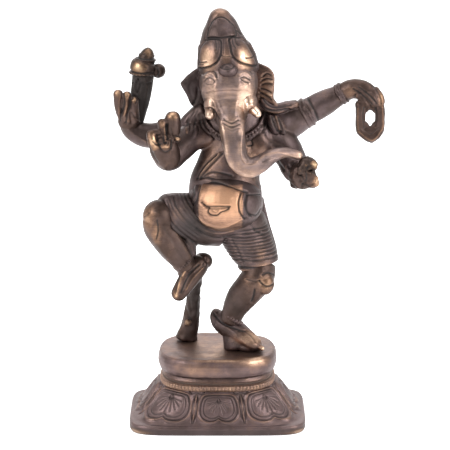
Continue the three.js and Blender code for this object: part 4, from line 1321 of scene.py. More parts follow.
@dataclass
class Body:
    """Chest, belly and the four arms down to the wrists, with the cords and bands on them."""

    voxel: float = 0.36

    def chest_and_arms(self) -> Casting:
        """One casting: the chest with its four arms growing out of the two shoulders.

        Returns:
            The casting, with its relief and its wear.
        """
        chest = [
            (4, 3, 102, 8.6, 7), (4.4, 2.8, 97, 10.4, 7.6), (5.4, 2, 90, 13.4, 8.4), (6, 1.5, 85, 14.5, 8.5),
            (4.7, 0, 79.5, 12, 8.8), (3, -1.5, 73.5, 12.6, 9.2), (1.8, -2.4, 67, 14.2, 10),
            (1.8, -1.2, 59, 14.4, 10.4), (2.2, -.6, 54, 13.4, 10.4),
        ]
        front_right = [
            (-4, 0, 87, 6, 6.6), (-11, -3, 86, 5.6, 6), (-16, -6, 82.4, 5.6, 5.8),
            (-20.2, -9.6, 79.2, 5.4, 5.6), (-21.7, -12.4, 83, 5.4, 5.1),
        ]
        rear_right = [
            (-3, 4, 87, 6, 6), (-12, 6.5, 86.2, 5, 5), (-22, 9, 84.8, 5, 4.8), (-29.6, 10, 84.2, 5, 4.8),
            (-35, 10, 86.6, 4.3, 4.4), (-36.9, 9.8, 91.5, 4.1, 4.2),
        ]
        rear_left = [
            (14, 3, 87, 8, 7.5), (22, 4, 89, 8, 7.4), (29, 4.6, 91.8, 6.6, 6.2), (35, 5, 95, 5.3, 5.2),
            (41.5, 5, 98.5, 5, 4.8), (47.6, 4, 102.1, 3.8, 3.6),
        ]
        front_left = [
            (16, 1.5, 86, 8, 7.6), (23, 1, 83, 7, 7), (27, -1.5, 78, 6, 6.2), (28.6, -6.5, 74.6, 5.4, 5.6),
            (30, -10.6, 73.5, 4.9, 5.2),
        ]
        right_scarf = [
            (-14.6, 0, 89.1, 3, 3.2), (-11.8, 0, 91.9, 3.4, 3.8), (-8.6, 0, 94.1, 4.1, 4.5),
            (-5.1, 0, 95.9, 4.6, 5)
        ]
        left_scarf = [
            (15.3, -1, 101.2, 1.8, 2.2), (17.7, -1.6, 98.2, 2, 2.6), (21.2, -1, 97.0, 2, 3),
            (26.0, 0, 97.9, 1.9, 3), (30.7, 1, 98.7, 1.5, 2.4),
        ]
        arms = [
            limb(rows) for rows in (front_right, rear_right, rear_left, front_left, right_scarf, left_scarf)
        ]
        casting = Casting.fused(
            [limb(chest, rings=90, sides=60), blob((15.4, -3, 84.5), (5.4, 4.6, 7.5)), *arms], self.voxel, 8
        )
        self._chase_front(casting)
        casting.chase([
            Line([(-8, 92), (2, 80), (12, 68), (15, 62)], .6, .45),
            Line([(-6, 93), (4, 81), (14, 69)], .6, -.4),
            Line([(5, 98), (4.6, 86), (3, 70), (2.4, 60)], .9, .4),
            Line([(-9, 61), (2, 58.6), (14, 60)], .6, .5), Line([(-6, 86), (-2, 82), (-1, 78)], .7, .25),
            Line([(16, 86), (12, 82), (11, 78)], .7, .25),
        ], Sheet.BACK)
        wear_and_light_patches = [
            WearAndLightPatch((31, -1, 98), (7, 4, 2.4), .22), WearAndLightPatch((43, 1.5, 102), (6, 4, 2), .16),
            WearAndLightPatch((-28, 6, 81.5), (6, 4, 2), .1), WearAndLightPatch((12, -8, 78), (9, 5, 10), .5),
            WearAndLightPatch((-4, -8, 78), (6, 5, 10), .42),
        ]
        # Painted shade at the front right elbow; the two rear arms are darkened in patches.
        casting.add_soot_and_shade(
            [
                WearAndLightPatch((-21, -8, 80), (6, 8, 7), .75), WearAndLightPatch((-30, 8, 85), (8, 6, 4), .3),
                WearAndLightPatch((39, 4, 96.5), (8, 6, 4), .4)
            ]
        )
        return casting.dent(7, .16, 2.5).polish_and_highlight(wear_and_light_patches)

    def _chase_front(self, casting: Casting) -> None:
        """The double cord from the left shoulder, the scarf over the right, and the arms' lines.

        Args:
            casting: the casting to cut.
        """
        casting.chase([
            Line([(-1.8, 78.3), (-5.9, 74.6), (-8.1, 71.7), (-9.5, 68.7)], .5, .5),
            Line([(0.6, 78.8), (-3.4, 74.8), (-6.3, 71.7), (-8.1, 69.3)], .5, .5),
            Line([(-0.6, 78.6), (-4.7, 74.6), (-7.1, 71.7), (-8.8, 69.0)], .5, -.3),
            Line([(-6.7, 69.9), (-4.0, 71.3), (-0.4, 71.1), (4.4, 69.9)], .45, .45),
            Line([(14.6, 100.7), (16.5, 97.3), (20.1, 95.8), (26.4, 96.5)], .5, .6),
            Line([(15.7, 101.9), (18.1, 98.7), (21.7, 97.2), (27.2, 98.1)], .45, .5),
            Line([(15.0, 99.5), (17.3, 96.3), (20.9, 95.1), (24.8, 95.5)], .5, -.3),
            Line([(8.7, 82.7), (9.9, 84.1), (11.9, 83.9), (12.3, 82.2), (10.5, 81.8)], .35, .4),
            Line([(11.5, 78.8), (12.3, 77.8), (13.1, 78.4)], .4, -.4),
            Line([(31.1, 99.3), (33.1, 96.4), (34.6, 93.4), (35.6, 90.1)], .5, .55),
            Line([(33.8, 100.8), (35.5, 97.9), (37.0, 94.9), (38.4, 91.5)], .5, .55),
            Line([(22.2, 75.8), (25.0, 71.7), (29.8, 65.2)], .5, .4),
            Line([(24.6, 76.6), (27.4, 72.6), (31.4, 67.3)], .5, .35),
            Line([(16.2, 76.6), (19.4, 79.0), (23.0, 79.6)], .5, .4),
            Line([(-28.8, 85.9), (-28.0, 81.8), (-25.6, 75.8), (-23.0, 73.0)], .6, .4),
            Line([(-37.4, 89.9), (-34.3, 86.7), (-29.2, 83.5)], .6, -.3),
            Line([(-7.1, 93.5), (-5.9, 89.9), (-3.5, 87.5), (0.0, 86.3)], .45, .35),
            Line([(-8.6, 94.3), (-7.3, 89.5), (-4.3, 86.4), (0.0, 84.9)], .45, .35),
            Line([(16.2, 94.7), (15.4, 90.3), (13.0, 87.5), (9.9, 86.3)], .45, .35),
            Line([(17.7, 95.1), (17.2, 89.5), (14.2, 86.0), (9.9, 84.7)], .45, .35),
            Line([(-11.0, 95.5), (-12.6, 92.3), (-13.4, 88.3)], .6, .35),
            Line([(-9.4, 95.9), (-10.2, 92.7), (-9.8, 88.7)], .5, .3),
            Line([(16.2, 87.5), (18.6, 83.9), (24.1, 81.4)], .8, .25),
        ])
        casting.chase(
            [
                Line(
                    [
                        (-8.7, 68.7), (-5.9, 69.2), (-4.0, 68.7), (2.0, 66.9), (7.6, 64.6), (10.3, 63.4),
                        (15.9, 63.6)
                    ],
                    .5, .55
                )
            ]
        )

    def belly(self) -> Casting:
        """The bare round belly, bright in front, with its side panels and the knotted cord on it.

        Returns:
            The casting, with its relief and its wear.
        """
        casting = Casting.fused(
            [blob((1.7, -6.6, 60.5), (14.8, 12.9, 11.6)), blob((2, -6.2, 58), (13.5, 12, 9))], .3, 3
        )
        casting.chase([
            Line([(-7.5, 67.3), (-2.4, 67.5), (2.2, 66.2), (7.3, 64.2), (10.3, 63.2)], .5, .6),
            Line([(8.1, 63.1), (7.1, 59.0), (7.6, 54.9), (9.4, 52.2)], .45, .6),
            Line([(10.5, 62.4), (9.8, 58.4), (10.7, 54.9), (12.2, 53.4)], .45, .55),
            Line([(9.2, 62.6), (8.4, 58.7), (9.2, 54.9), (10.8, 52.8)], .5, -.3),
            Line([(10.7, 62.2), (16.1, 62.4)], .4, .45),
            Line([(11.3, 54.0), (14.1, 53.8), (16.1, 56.7)], .4, .45),
            Line([(-7.9, 67.1), (-9.0, 63.1), (-10.1, 59.5), (-12.1, 57.3)], .5, .55),
            Line([(-11.3, 65.2), (-10.5, 62.4), (-11.9, 60.0)], .5, .5),
            Line([(-13.1, 66.5), (-12.9, 61.6), (-11.3, 57.7)], .4, .4),
            Line([(-9.7, 66.9), (-10.4, 62.8), (-11.2, 60.2)], .5, -.3),
            Line([(-7.8, 59.1), (-6.4, 57.7), (-4.0, 57.3), (-0.4, 57.4), (3.6, 57.3)], .55, .55),
            Line([(-6.8, 57.9), (-4.4, 56.4), (-0.8, 56.4), (3.4, 56.8)], .5, .45),
            Line(
                [
                    (-4.8, 56.8), (-5.2, 55.2), (-4.0, 53.8), (-1.6, 53.7), (0.0, 54.9), (1.6, 55.5),
                    (3.2, 56.3)
                ],
                .45, .55
            ),
            Line([(-3.6, 55.7), (-2.1, 54.9), (-0.8, 55.9)], .4, .3),
            Line([(-6.4, 57.1), (-5.0, 58.6), (-0.4, 58.3), (3.2, 58.2)], .5, -.25),
            Line(
                [
                    (-9.8, 54.0), (-6.6, 50.7), (-3.6, 49.3), (-0.6, 48.8), (2.2, 49.3), (5.6, 50.8),
                    (9.0, 53.0)
                ],
                .5, -.4
            ),
        ])
        wear_and_light_patches = [WearAndLightPatch((1.5, -18, 63.5), (9.5, 9, 7), .75), WearAndLightPatch((-3, -17, 66), (8, 7, 4), .5)]
        # The front is rubbed bright; the darkening on the belly's underside is painted shade.
        casting.polish_and_highlight(wear_and_light_patches).add_soot_and_shade([WearAndLightPatch((1.5, -14, 50.5), (12, 9, 4.6), .55)])
        x, _, z = casting.shell.points.T
        side = np.maximum(ramp(-8.6 - x, -.6, 1.0), ramp(x - 8.4, -.6, .8))
        side = np.maximum(side, ramp(z, 68.5, 70))
        casting.wear_and_highlight = casting.wear_and_highlight * (1 - side) - .5 * side
        return casting

    def build(self) -> None:
        """Makes and dresses the body."""
        nodes = ("chest", "rear_left_arm", "front_left_arm", "front_right_arm", "rear_right_arm")
        self.chest_and_arms().dress("chest_with_arms", Metal.FIGURE.value, *nodes)
        self.belly().dress("belly_polished", Metal.POLISHED.value, "belly")


# ---------------------------------------------------------------------------------------
# Hands and what they hold
# ---------------------------------------------------------------------------------------


@dataclass
class Hands:
    """The four hands, the club in the raised one and the sweet in the open one."""

    voxel: float = 0.3

    def rear_left(self) -> Casting:
        """The hand that bends down at the wrist and closes finger and thumb into a loop.

        Returns:
            The casting, with its relief and its wear.
        """
        palm = [
            (47.6, 4, 102.1, 3.8, 3.6), (51.6, 3, 104, 3.9, 3.6), (56.4, 1.5, 103.2, 3.9, 3.4),
            (60.2, 0, 99.6, 3.1, 3.2)
        ]
        parts = [limb(palm, domes=(1, 1.6))]
        ring = [
            (53.5, 0, 99.9, 2.2, 2.2), (54.5, -1, 97.3, 2, 2.2), (54.6, -1.6, 89.2, 2, 2.1),
            (56.3, -1.7, 87.4, 2.3, 2.1), (58.7, -1.8, 86.1, 2.5, 2.1), (60.9, -1.7, 87.8, 2.4, 2.1),
            (62.0, -1.6, 89.8, 2, 2.1), (62.0, -1, 96.9, 2, 2.2), (60.6, 0, 99.5, 2, 2.2),
        ]
        corners_of_hole = (
            ((56.0, -1.2, 95.1), (57.9, -1.2, 97.6)), ((60.5, -1.2, 95.1), (58.5, -1.2, 97.6)),
            ((56.0, -1.4, 91.9), (58.0, -1.4, 89.4)), ((60.6, -1.4, 91.9), (58.7, -1.4, 89.4)),
        )
        parts += [limb([(*start, .7, 1.7), (*end, .7, 1.7)]) for start, end in corners_of_hole]
        parts.append(
            limb([(58.5, 0.6, 104.5, 2.6, 2.6), (61.7, -0.2, 100.9, 2.1, 2.3), (62.4, -1, 97.7, 1.8, 2.1)])
        )
        parts += [
            limb(ring, rings=90, square=2.6), blob((58.9, -1.8, 84.9), (1.5, 1.5, 1.6)),
            blob((58.3, -1.7, 88.6), (3.0, 1.7, 1.4))
        ]
        parts.append(limb([(55.0, -0.6, 98.1, 1.9, 2), (60.9, -0.6, 98.1, 1.9, 2)], domes=(.6, .6)))
        starts = ((52.6, -.6, 102.2), (54.4, -.9, 103), (56.4, -1.2, 103.2))
        ends = ((57.2, -2.4, 97.6), (59.6, -2.5, 97.8), (61.3, -2.2, 98.4))
        for start, end in zip(starts, ends):
            bend = tuple((a + b) / 2 + lift for a, b, lift in zip(start, end, (0.3, -.5, .7)))
            parts.append(taper([start, bend, end], 1.25, .95))
        casting = Casting.fused(parts, self.voxel, 3)
        casting.chase([
            Line([(51.4, 104.6), (54.2, 102.9), (57.0, 100.5), (59.2, 98.3)], .35, .5),
            Line([(53.4, 105.4), (56.4, 103.4), (59.0, 100.9), (60.8, 98.7)], .35, .5),
            Line([(59.7, 105.4), (61.8, 101.9), (62.7, 98.5)], .4, .35),
            Line([(56.0, 97.1), (55.6, 92.9), (56.2, 89.1)], .4, .35),
            Line([(60.4, 96.9), (61.0, 92.9), (60.2, 90.1)], .4, .3),
            Line([(63.1, 97.5), (63.3, 92.3), (63.1, 88.7), (59.3, 84.1), (54.1, 87.5)], .4, -.35),
            Line([(53.6, 96.7), (53.6, 92.7), (53.8, 88.3)], .45, -.3),
            Line([(55.6, 88.7), (58.8, 86.7), (61.5, 89.1)], .4, .3),
        ])
        wear_and_light_patches = [
            WearAndLightPatch((50.4, 0, 103), (2.4, 3, 2.4), .4), WearAndLightPatch((62.6, -2, 101), (1.4, 3, 3.5), .55),
            WearAndLightPatch((56, -1, 106), (6, 3, 1.4), .15)
        ]
        return casting.dent(4, .1, 2).polish_and_highlight(wear_and_light_patches)

    def front_left(self) -> Casting:
        """The open hand under the trunk's tip, holding a sweet.

        Returns:
            The casting, with its relief and its wear.
        """
        palm = [(30, -10.6, 73.5, 4.9, 5.2), (31.6, -14, 73, 5.4, 5.2), (33.2, -17.2, 73, 4.8, 4.8)]
        parts = [
            limb(palm), blob((35.2, -17.3, 70.9), (2.8, 2.6, 2.2)), blob((33.6, -17.6, 73.4), (3.2, 3, 3.6)),
            blob((29, -12.5, 70), (2.4, 3, 2.6))
        ]
        starts = ((33.4, -14.5, 70), (34.4, -16, 72), (33.8, -18.5, 74.2))
        ends = ((37.0, -17.6, 70.6), (37.2, -18.8, 72.9), (36.0, -20.6, 75.2))
        parts += [taper([start, end], 1.6, 1.1) for start, end in zip(starts, ends)]
        casting = Casting.fused(parts, self.voxel, 3)
        casting.chase([
            Line([(32.5, 73.0), (33.7, 70.1), (33.2, 67.3)], .5, .55),
            Line([(30.9, 70.9), (32.6, 67.7), (31.8, 65.2)], .5, .4),
            Line([(34.1, 73.0), (35.7, 71.3), (37.7, 70.9)], .4, .45),
        ])
        # Painted shade on the palm under the sweet.
        casting.add_soot_and_shade([WearAndLightPatch((31, -14, 72), (5, 6, 6), .4)])
        wear_and_light_patches = [WearAndLightPatch((37, -18.5, 71.5), (2.2, 2.4, 2.6), .8)]
        return casting.dent(2.6, .35, 6.0).polish_and_highlight(wear_and_light_patches)

    def sweet(self) -> Casting:
        """The round sweet, lumpy on top.

        Returns:
            The casting, with its relief and its wear.
        """
        parts = [
            blob((33.4, -16.2, 77.4), (3.7, 3.7, 3.5)), blob((35.6, -18.4, 78.2), (1.7, 1.7, 1.8)),
            blob((31, -18, 76), (1.8, 1.8, 1.9))
        ]
        casting = Casting.fused(parts, self.voxel, 3)
        casting.chase([Line([(33.7, 72.6), (34.9, 73.8), (36.5, 73.6)], .4, .4)])
        return casting.dent(2.4, .4, 3.0).polish_and_highlight([WearAndLightPatch((36, -19.5, 78.4), (1.4, 1.4, 1.6), .9)])

    def front_right(self) -> Casting:
        """The raised blessing hand: two straight fingers, and two folded down to the palm.

        Returns:
            The casting, with its relief and its wear.
        """
        palm = [
            (-19.7, -11.5, 76.2, 3.6, 4.4), (-20.4, -12.4, 79.2, 5, 5.2), (-21.7, -13.4, 83.0, 5.7, 5.2),
            (-22.3, -13.4, 86.5, 5.2, 4.6), (-21.3, -13, 89.6, 4.4, 3.6),
        ]
        parts = [limb(palm, domes=(1, 1))]
        parts.append(taper([(-18.6, -13.4, 88.1), (-18.4, -13.8, 92.9), (-18.7, -13.8, 98.2)], 2.9, 3.2))
        parts.append(taper([(-21.9, -14, 88.2), (-22.4, -15, 91.9), (-22.5, -15, 95.6)], 1.9, 1.8))
        parts.append(taper([(-24.7, -16, 83.1), (-26.3, -17, 87.2), (-27.0, -16, 91.3)], 2.3, 1.8))
        parts.append(taper([(-26.3, -16.6, 90.4), (-24.2, -17, 90.7), (-22.9, -16.6, 89.9)], 1.1, 1.0))
        parts.append(taper([(-23.2, -17.4, 88.5), (-22.4, -18.2, 85.9), (-21.3, -18.2, 84.9)], 1.15, 1.1))
        parts.append(taper([(-21.3, -18.2, 84.9), (-20.1, -18.2, 86.1), (-20.5, -17.4, 87.9)], 1.1, 1.0))
        parts.append(blob((-16.6, -15.4, 87.7), (1.3, 1.3, 1.3)))
        casting = Casting.fused(parts, self.voxel, 3)
        casting.chase([
            Line(
                [(-25.1, 85.5), (-24.6, 82.7), (-23.5, 80.4), (-21.7, 79.4), (-19.7, 80.8), (-19.3, 84.3)],
                .32, .36
            ),
            Line([(-22.6, 85.5), (-22.2, 83.2), (-21.5, 83.1)], .36, .45),
            Line([(-21.1, 90.3), (-21.4, 87.1), (-20.8, 84.7)], .4, .6),
            Line([(-26.8, 83.5), (-25.1, 82.2), (-23.5, 82.7)], .36, .5),
            Line([(-22.3, 88.7), (-21.7, 85.9), (-21.9, 83.5)], .4, -.35),
            Line([(-20.1, 79.8), (-20.6, 75.8), (-22.2, 73.0)], .7, -.25),
            Line([(-28.6, 84.3), (-27.5, 79.8), (-24.9, 75.0)], .5, .4),
            Line([(-17.5, 85.7), (-16.2, 85.6)], .3, .4), Line([(-17.5, 83.6), (-16.2, 83.5)], .3, .4),
            Line([(-19.7, 89.1), (-19.3, 86.3)], .5, .3),
        ])
        wear_and_light_patches = [
            WearAndLightPatch((-18.6, -17, 97.2), (2.3, 3, 1.9), .85), WearAndLightPatch((-26.3, -19, 88.0), (1.7, 2.4, 3), .9),
            WearAndLightPatch((-22.3, -17, 93.5), (1.2, 2, 1.6), .6), WearAndLightPatch((-21.1, -19.4, 85.1), (2, 1.6, 1), .8),
            WearAndLightPatch((-25.0, -19, 85.3), (2, 2, 1.6), .6), WearAndLightPatch((-16.5, -17, 88.0), (1, 1.2, 1), .7),
        ]
        return casting.dent(4, .1, 1).polish_and_highlight(wear_and_light_patches)

    def rear_right(self) -> Casting:
        """The hand round the club's shaft, its three fingertips showing beside it.

        Returns:
            The casting, with its relief and its wear.
        """
        palm = [(-36.9, 9.8, 91.5, 4.1, 4.2), (-37, 9, 94, 4.6, 4.2), (-36.4, 8.4, 97, 3.8, 3.4)]
        parts = [limb(palm), limb([(-35, 10, 87.5, 4.3, 4.4), (-36.9, 9.8, 92, 4.3, 4.3)])]
        parts.append(taper([(-37.6, 7.4, 89.3), (-39.9, 6.4, 95.9), (-40.6, 6.2, 103.2)], 2.2, 1.9))
        parts.append(taper([(-36.0, 6.4, 89.1), (-37.1, 5.2, 95.7), (-36.8, 5, 102.7)], 2.0, 1.8))
        parts.append(taper([(-34.0, 6.6, 89.4), (-34.1, 5.2, 94.9), (-34.1, 4.8, 100.6)], 2.1, 1.7))
        parts.append(blob((-36.2, 8, 90.4), (4.6, 3.4, 4.4)))
        casting = Casting.fused(parts, self.voxel, 3)
        casting.chase([
            Line([(-38.1, 102.3), (-37.9, 98.9), (-39.0, 94.7), (-39.5, 91.9)], .38, .55),
            Line([(-35.3, 101.3), (-35.6, 97.9), (-36.6, 94.3), (-37.4, 91.1)], .38, .55),
            Line([(-39.4, 101.5), (-39.9, 98.3), (-39.7, 94.7)], .4, -.25),
            Line([(-36.7, 100.7), (-36.9, 97.5), (-37.8, 93.9)], .4, -.3),
            Line([(-34.5, 100.5), (-34.3, 101.4), (-33.2, 101.5), (-32.7, 100.3), (-33.2, 98.7)], .3, .35),
            Line([(-35.0, 95.1), (-32.7, 92.7), (-30.3, 92.3)], .5, .3),
        ])
        wear_and_light_patches = [
            WearAndLightPatch((-36.8, 3, 101.7), (1.2, 2, 2.2), .75), WearAndLightPatch((-40.7, 4.4, 102.3), (1.1, 2, 1.8), .6),
            WearAndLightPatch((-34.1, 3, 99.9), (1.1, 1.6, 1.7), .6), WearAndLightPatch((-37.2, 3, 91.7), (4, 2, 3), .2)
        ]
        return casting.dent(4, .1, 4).polish_and_highlight(wear_and_light_patches)

    def club_shaft(self) -> Casting:
        """The thick shaft with an almond cut in its front.

        Returns:
            The casting, with its relief and its wear.
        """
        rows = [
            (-33.5, 10, 88.4, 2.6, 3.2), (-32.9, 10, 93.3, 3.3, 3.5), (-32.0, 10, 98.9, 4, 3.6),
            (-31.2, 10, 103.7, 4.2, 3.7), (-30.7, 10, 108.2, 4.3, 3.9)
        ]
        rows.append((-30.6, 10, 109.8, 4.2, 3.9))
        casting = Casting.fused([limb(rows)], self.voxel, 3)
        casting.chase([
            Line([(-32.3, 108.2), (-33.4, 105.8), (-32.8, 103.2)], .4, .6),
            Line([(-32.3, 108.2), (-31.3, 105.8), (-32.6, 103.2)], .4, .6),
            Line([(-34.3, 107.8), (-34.6, 105.4), (-34.0, 103.4)], .4, .3),
            Line([(-29.4, 107.8), (-28.8, 104.6), (-29.4, 101.1)], .5, -.25),
            Line([(-35.3, 107.2), (-32.1, 106.5), (-29.0, 106.6), (-26.4, 107.2)], .4, .4),
        ])
        # The whole shaft is darkened.
        casting.add_soot_and_shade([WearAndLightPatch((-32, 8, 98), (9, 9, 30), .85)])
        return casting.dent(5, .14, 3)

    def club_head(self) -> Casting:
        """The toothed ring, the bright bulb, two rings and the cone.

        Returns:
            The casting, with its relief and its wear.
        """
        bulb = [
            (-31, 10, 108.6, 4.6, 4.6), (-30.7, 10, 110.4, 5.25, 5.1), (-30.3, 10, 112.6, 5.1, 4.9),
            (-29.8, 10, 114.3, 4.0, 3.9)
        ]
        cone = [
            (-29.8, 10, 113.2, 4, 3.8), (-29.2, 10, 115.6, 3.2, 3.2), (-28.8, 10, 117.4, 2.4, 2.4),
            (-28.5, 10, 119.3, 1.2, 1.2)
        ]
        parts = [limb(bulb, domes=(1, 1)), limb(cone, domes=(1, 1.2))]
        parts.append(torus((-30.9, 10, 109.2), (.06, 0, 1), (4.1, 4.0), (1.35, .8), 24, .35))
        parts.append(torus((-29.7, 10, 114.6), (.1, 0, 1), (3.0, 2.9), (1.2, .62)))
        parts.append(torus((-29.2, 10, 116.3), (.1, 0, 1), (2.1, 2.0), (1.1, .5)))
        casting = Casting.fused(parts, .26, 2)
        casting.band(
            [
                Band((-30.9, 10, 110.25), (.06, -.1, 1), .3, .45, 8),
                Band((-29.55, 10, 115.45), (.1, -.1, 1), .25, .35, 6)
            ]
        )
        casting.polish_and_highlight([WearAndLightPatch((-32.4, 5.4, 112), (3.2, 3, 2), .75), WearAndLightPatch((-28.4, 8, 118), (1.8, 2, 2.4), .45)])
        return casting

    def club_knob(self) -> Casting:
        """The knob at the club's side.

        Returns:
            The casting, with its relief and its wear.
        """
        parts = [
            blob((-24.7, 10, 110), (2.9, 2.8, 2.9)),
            limb([(-29, 10, 110, 2.4, 2.4), (-25, 10, 110, 2.3, 2.5)])
        ]
        casting = Casting.fused(parts, self.voxel, 3)
        return casting.chase([Line([(-24.9, 113.3), (-24.1, 111.0), (-24.7, 108.4)], .4, .5)]).dent(3, .12, 5)

    def cuff(self, centre: Point, axis: Point, halves: Spot, width: float, beads: int) -> Casting:
        """A bracelet: a bead row between two plain edges.

        Args:
            centre: its middle.
            axis: the direction of the wrist.
            halves: its half sizes, across and towards the front.
            width: its width along the axis.
            beads: how many beads it has.

        Returns:
            The bracelet.
        """
        along = np.array(axis) / np.linalg.norm(axis)
        parts = [
            torus(tuple(np.array(centre) + along * shift), axis, halves, (1.0, width * .22))
            for shift in (-width * .32, width * .32)
        ]
        parts.append(torus(centre, axis, halves, (.75, width * .34), beads, .35))
        return Casting.fused(parts, .26, 2)

    def build(self) -> None:
        """Makes and dresses the hands and what they hold."""
        figure, club = Metal.LIMB.value, Metal.CLUB.value
        self.rear_left().dress("rear_left_hand_looped", figure, "rear_left_hand")
        self.front_left().dress("front_left_hand_open", figure, "front_left_hand")
        self.sweet().dress("sweet_lumpy", club, "sweet")
        self.front_right().dress("front_right_hand_blessing", figure, "front_right_hand")
        self.rear_right().dress("rear_right_hand_gripping", figure, "rear_right_hand")
        self.club_shaft().dress("club_shaft_cut", club, "club_shaft")
        self.club_head().dress("club_head_ringed", club, "club_head")
        self.club_knob().dress("club_knob_cast", club, "club_knob")
        armband = self.cuff((33.2, 4.9, 94), (6, .4, 3.3), (5.15, 4.95), 3.4, 0)
        armband.dress("armband_edged", Metal.ORNAMENT.value, "armband")
        wrist = self.cuff((47.3, 4.1, 101.95), (5.6, -1, 3.4), (3.5, 3.3), 2.6, 0)
        wrist.dress("wrist_cuff_edged", Metal.ORNAMENT.value, "wrist_cuff")


# ---------------------------------------------------------------------------------------
# Head, crown and ornaments
# ---------------------------------------------------------------------------------------


@dataclass
class Head:
    """The elephant's head with its trunk and ears, the tusks, and the crown with its jewel."""

    voxel: float = 0.3

    def face(self) -> Casting:
        """Skull, brow, cheeks and the trunk that swings to the open hand. The face keeps a broad
        flat middle, so its section is squarer than an ellipse.

        Returns:
            The casting, with its relief and its wear.
        """
        face = [
            (3, -3, 114, 9.5, 9.5), (3, -4, 108.5, 11.2, 11.6), (3.2, -5.5, 102.5, 10.4, 11),
            (3.4, -8.5, 98, 7.6, 9), (3.9, -12.5, 94.5, 5.4, 6.4),
        ]
        trunk = [
            (3.3, -8, 98.5, 6.8, 8), (3.9, -12.5, 94.5, 5.5, 6.4), (4.5, -16.5, 90, 4.8, 4.8),
            (5.5, -18, 84.2, 4.3, 4.2), (7, -19, 79.8, 4.1, 4), (10.5, -19.6, 77.2, 3.9, 3.8),
            (15, -19.2, 78.6, 3.5, 3.5), (19.5, -17.8, 81.3, 2.8, 2.9), (25, -16.2, 82.5, 2, 2.2),
            (31.5, -15.6, 80.8, 1.6, 1.6),
        ]
        parts = [
            limb(face, square=2.5, rings=70), limb(trunk, square=2.3, rings=110),
            blob((3, -1, 107.5), (11.5, 12, 12.5))
        ]
        parts += [blob((-3.0, -9.4, 100.0), (3.6, 4.6, 4.6)), blob((10.6, -9.6, 100.8), (3.6, 4.6, 4.4))]
        casting = Casting.fused(parts, self.voxel, 6)
        casting.emboss([
            Boss(
                [(-6.2, 109.0), (-4.3, 109.6), (-2.3, 108.4), (-2.5, 107.0), (-4.3, 106.2), (-6.1, 106.9)],
                .55, 1.5
            ),
            Boss(
                [(7.6, 109.0), (9.4, 109.4), (11.4, 108.2), (11.2, 106.8), (9.4, 106.2), (7.9, 107.2)], .35,
                1.5
            ),
        ])
        casting.chase([
            Line([(-7.0, 110.4), (-5.8, 111.7), (-3.9, 112.1), (-2.3, 111.0), (-1.7, 109.0)], .45, .45),
            Line([(-6.0, 109.4), (-4.4, 110.6), (-2.8, 109.8), (-1.9, 108.2)], .4, -.4),
            Line([(-6.4, 107.7), (-5.7, 108.6), (-4.4, 109.0), (-3.1, 108.4), (-2.5, 107.4)], .3, .4),
            Line([(-6.0, 106.8), (-4.8, 106.1), (-3.3, 106.2), (-2.4, 107.1)], .28, .2),
            Line([(6.5, 112.2), (8.0, 113.0), (10.4, 112.6), (12.4, 110.6)], .45, .45),
            Line([(7.2, 109.8), (8.5, 110.8), (10.4, 110.3), (11.6, 108.8)], .4, -.35),
            Line([(7.9, 108.1), (9.3, 107.3), (10.9, 106.8)], .32, .5),
            Line([(7.7, 109.0), (9.4, 109.2), (11.4, 108.0)], .3, .35),
            Line([(-5.5, 96.7), (-3.8, 96.8), (-2.3, 95.3), (-1.0, 92.7)], .45, .6),
            Line([(-4.7, 97.6), (-2.7, 97.1), (-1.2, 94.7)], .5, -.3),
            Line([(11.0, 95.1), (11.8, 96.0), (13.0, 96.0)], .5, .7),
            Line([(10.0, 97.1), (10.8, 98.1), (12.2, 98.3)], .5, -.45),
            Line([(1.1, 92.2), (4.1, 91.0), (7.0, 92.2)], .4, .4),
            Line([(0.6, 90.8), (4.1, 89.4), (7.5, 90.5)], .4, .38),
            Line([(1.6, 89.1), (4.2, 88.0), (7.1, 89.0)], .4, .25),
            Line([(-6.9, 105.4), (-7.2, 101.1), (-5.9, 97.3)], .6, -.3),
            Line([(-2.3, 105.0), (-1.5, 99.9), (0.4, 94.7)], .9, -.35),
            Line([(6.7, 105.0), (6.1, 99.9), (5.4, 95.1)], .9, -.35),
            Line([(-6.6, 105.8), (-5.1, 105.0), (-2.7, 105.6)], .4, .2),
            Line([(-8.8, 111.8), (-9.0, 107.8), (-8.6, 103.0), (-7.0, 98.3)], .55, .6),
            Line([(14.0, 113.0), (14.0, 107.8), (14.4, 101.9)], .55, .6),
        ])
        casting.chase([
            Line(
                [(0.0, 91.5), (1.4, 85.5), (2.2, 79.8), (3.0, 75.0), (5.2, 71.1), (8.3, 69.3), (12.3, 69.6)],
                .8, -.35
            ),
            Line(
                [
                    (9.0, 91.5), (8.3, 86.3), (7.7, 81.0), (8.1, 77.0), (9.9, 74.4), (13.1, 74.6),
                    (16.2, 77.2), (20.2, 78.8), (24.9, 78.8), (31.3, 77.0)
                ],
                .6, -.4
            ),
            Line([(4.4, 89.5), (4.8, 82.7), (5.4, 77.4), (7.5, 73.2), (12.3, 71.9), (16.3, 73.9)], 1.9, .5),
            Line([(16.2, 75.8), (20.2, 77.2), (24.9, 77.2), (30.5, 75.8)], .6, .25),
            Line([(10.4, 87.9), (9.7, 83.5), (9.4, 79.8), (10.1, 77.0)], .4, .2),
        ])
        rings = [(2.2 + k * 2.3, 77.6 + k * .2) for k in range(4)]
        casting.chase([Line([(x + 8, z - 2.6), (x + 8.4, z + 1.2)], .3, .12) for x, z in rings])
        behind = [
            Line([(3, 114), (3, 104), (4, 97)], .9, .4), Line([(-5, 110), (-4, 104), (-1, 98)], .7, .3),
            Line([(11, 110), (10, 104), (8, 98)], .7, .3),
        ]
        casting.chase(behind, Sheet.BACK)
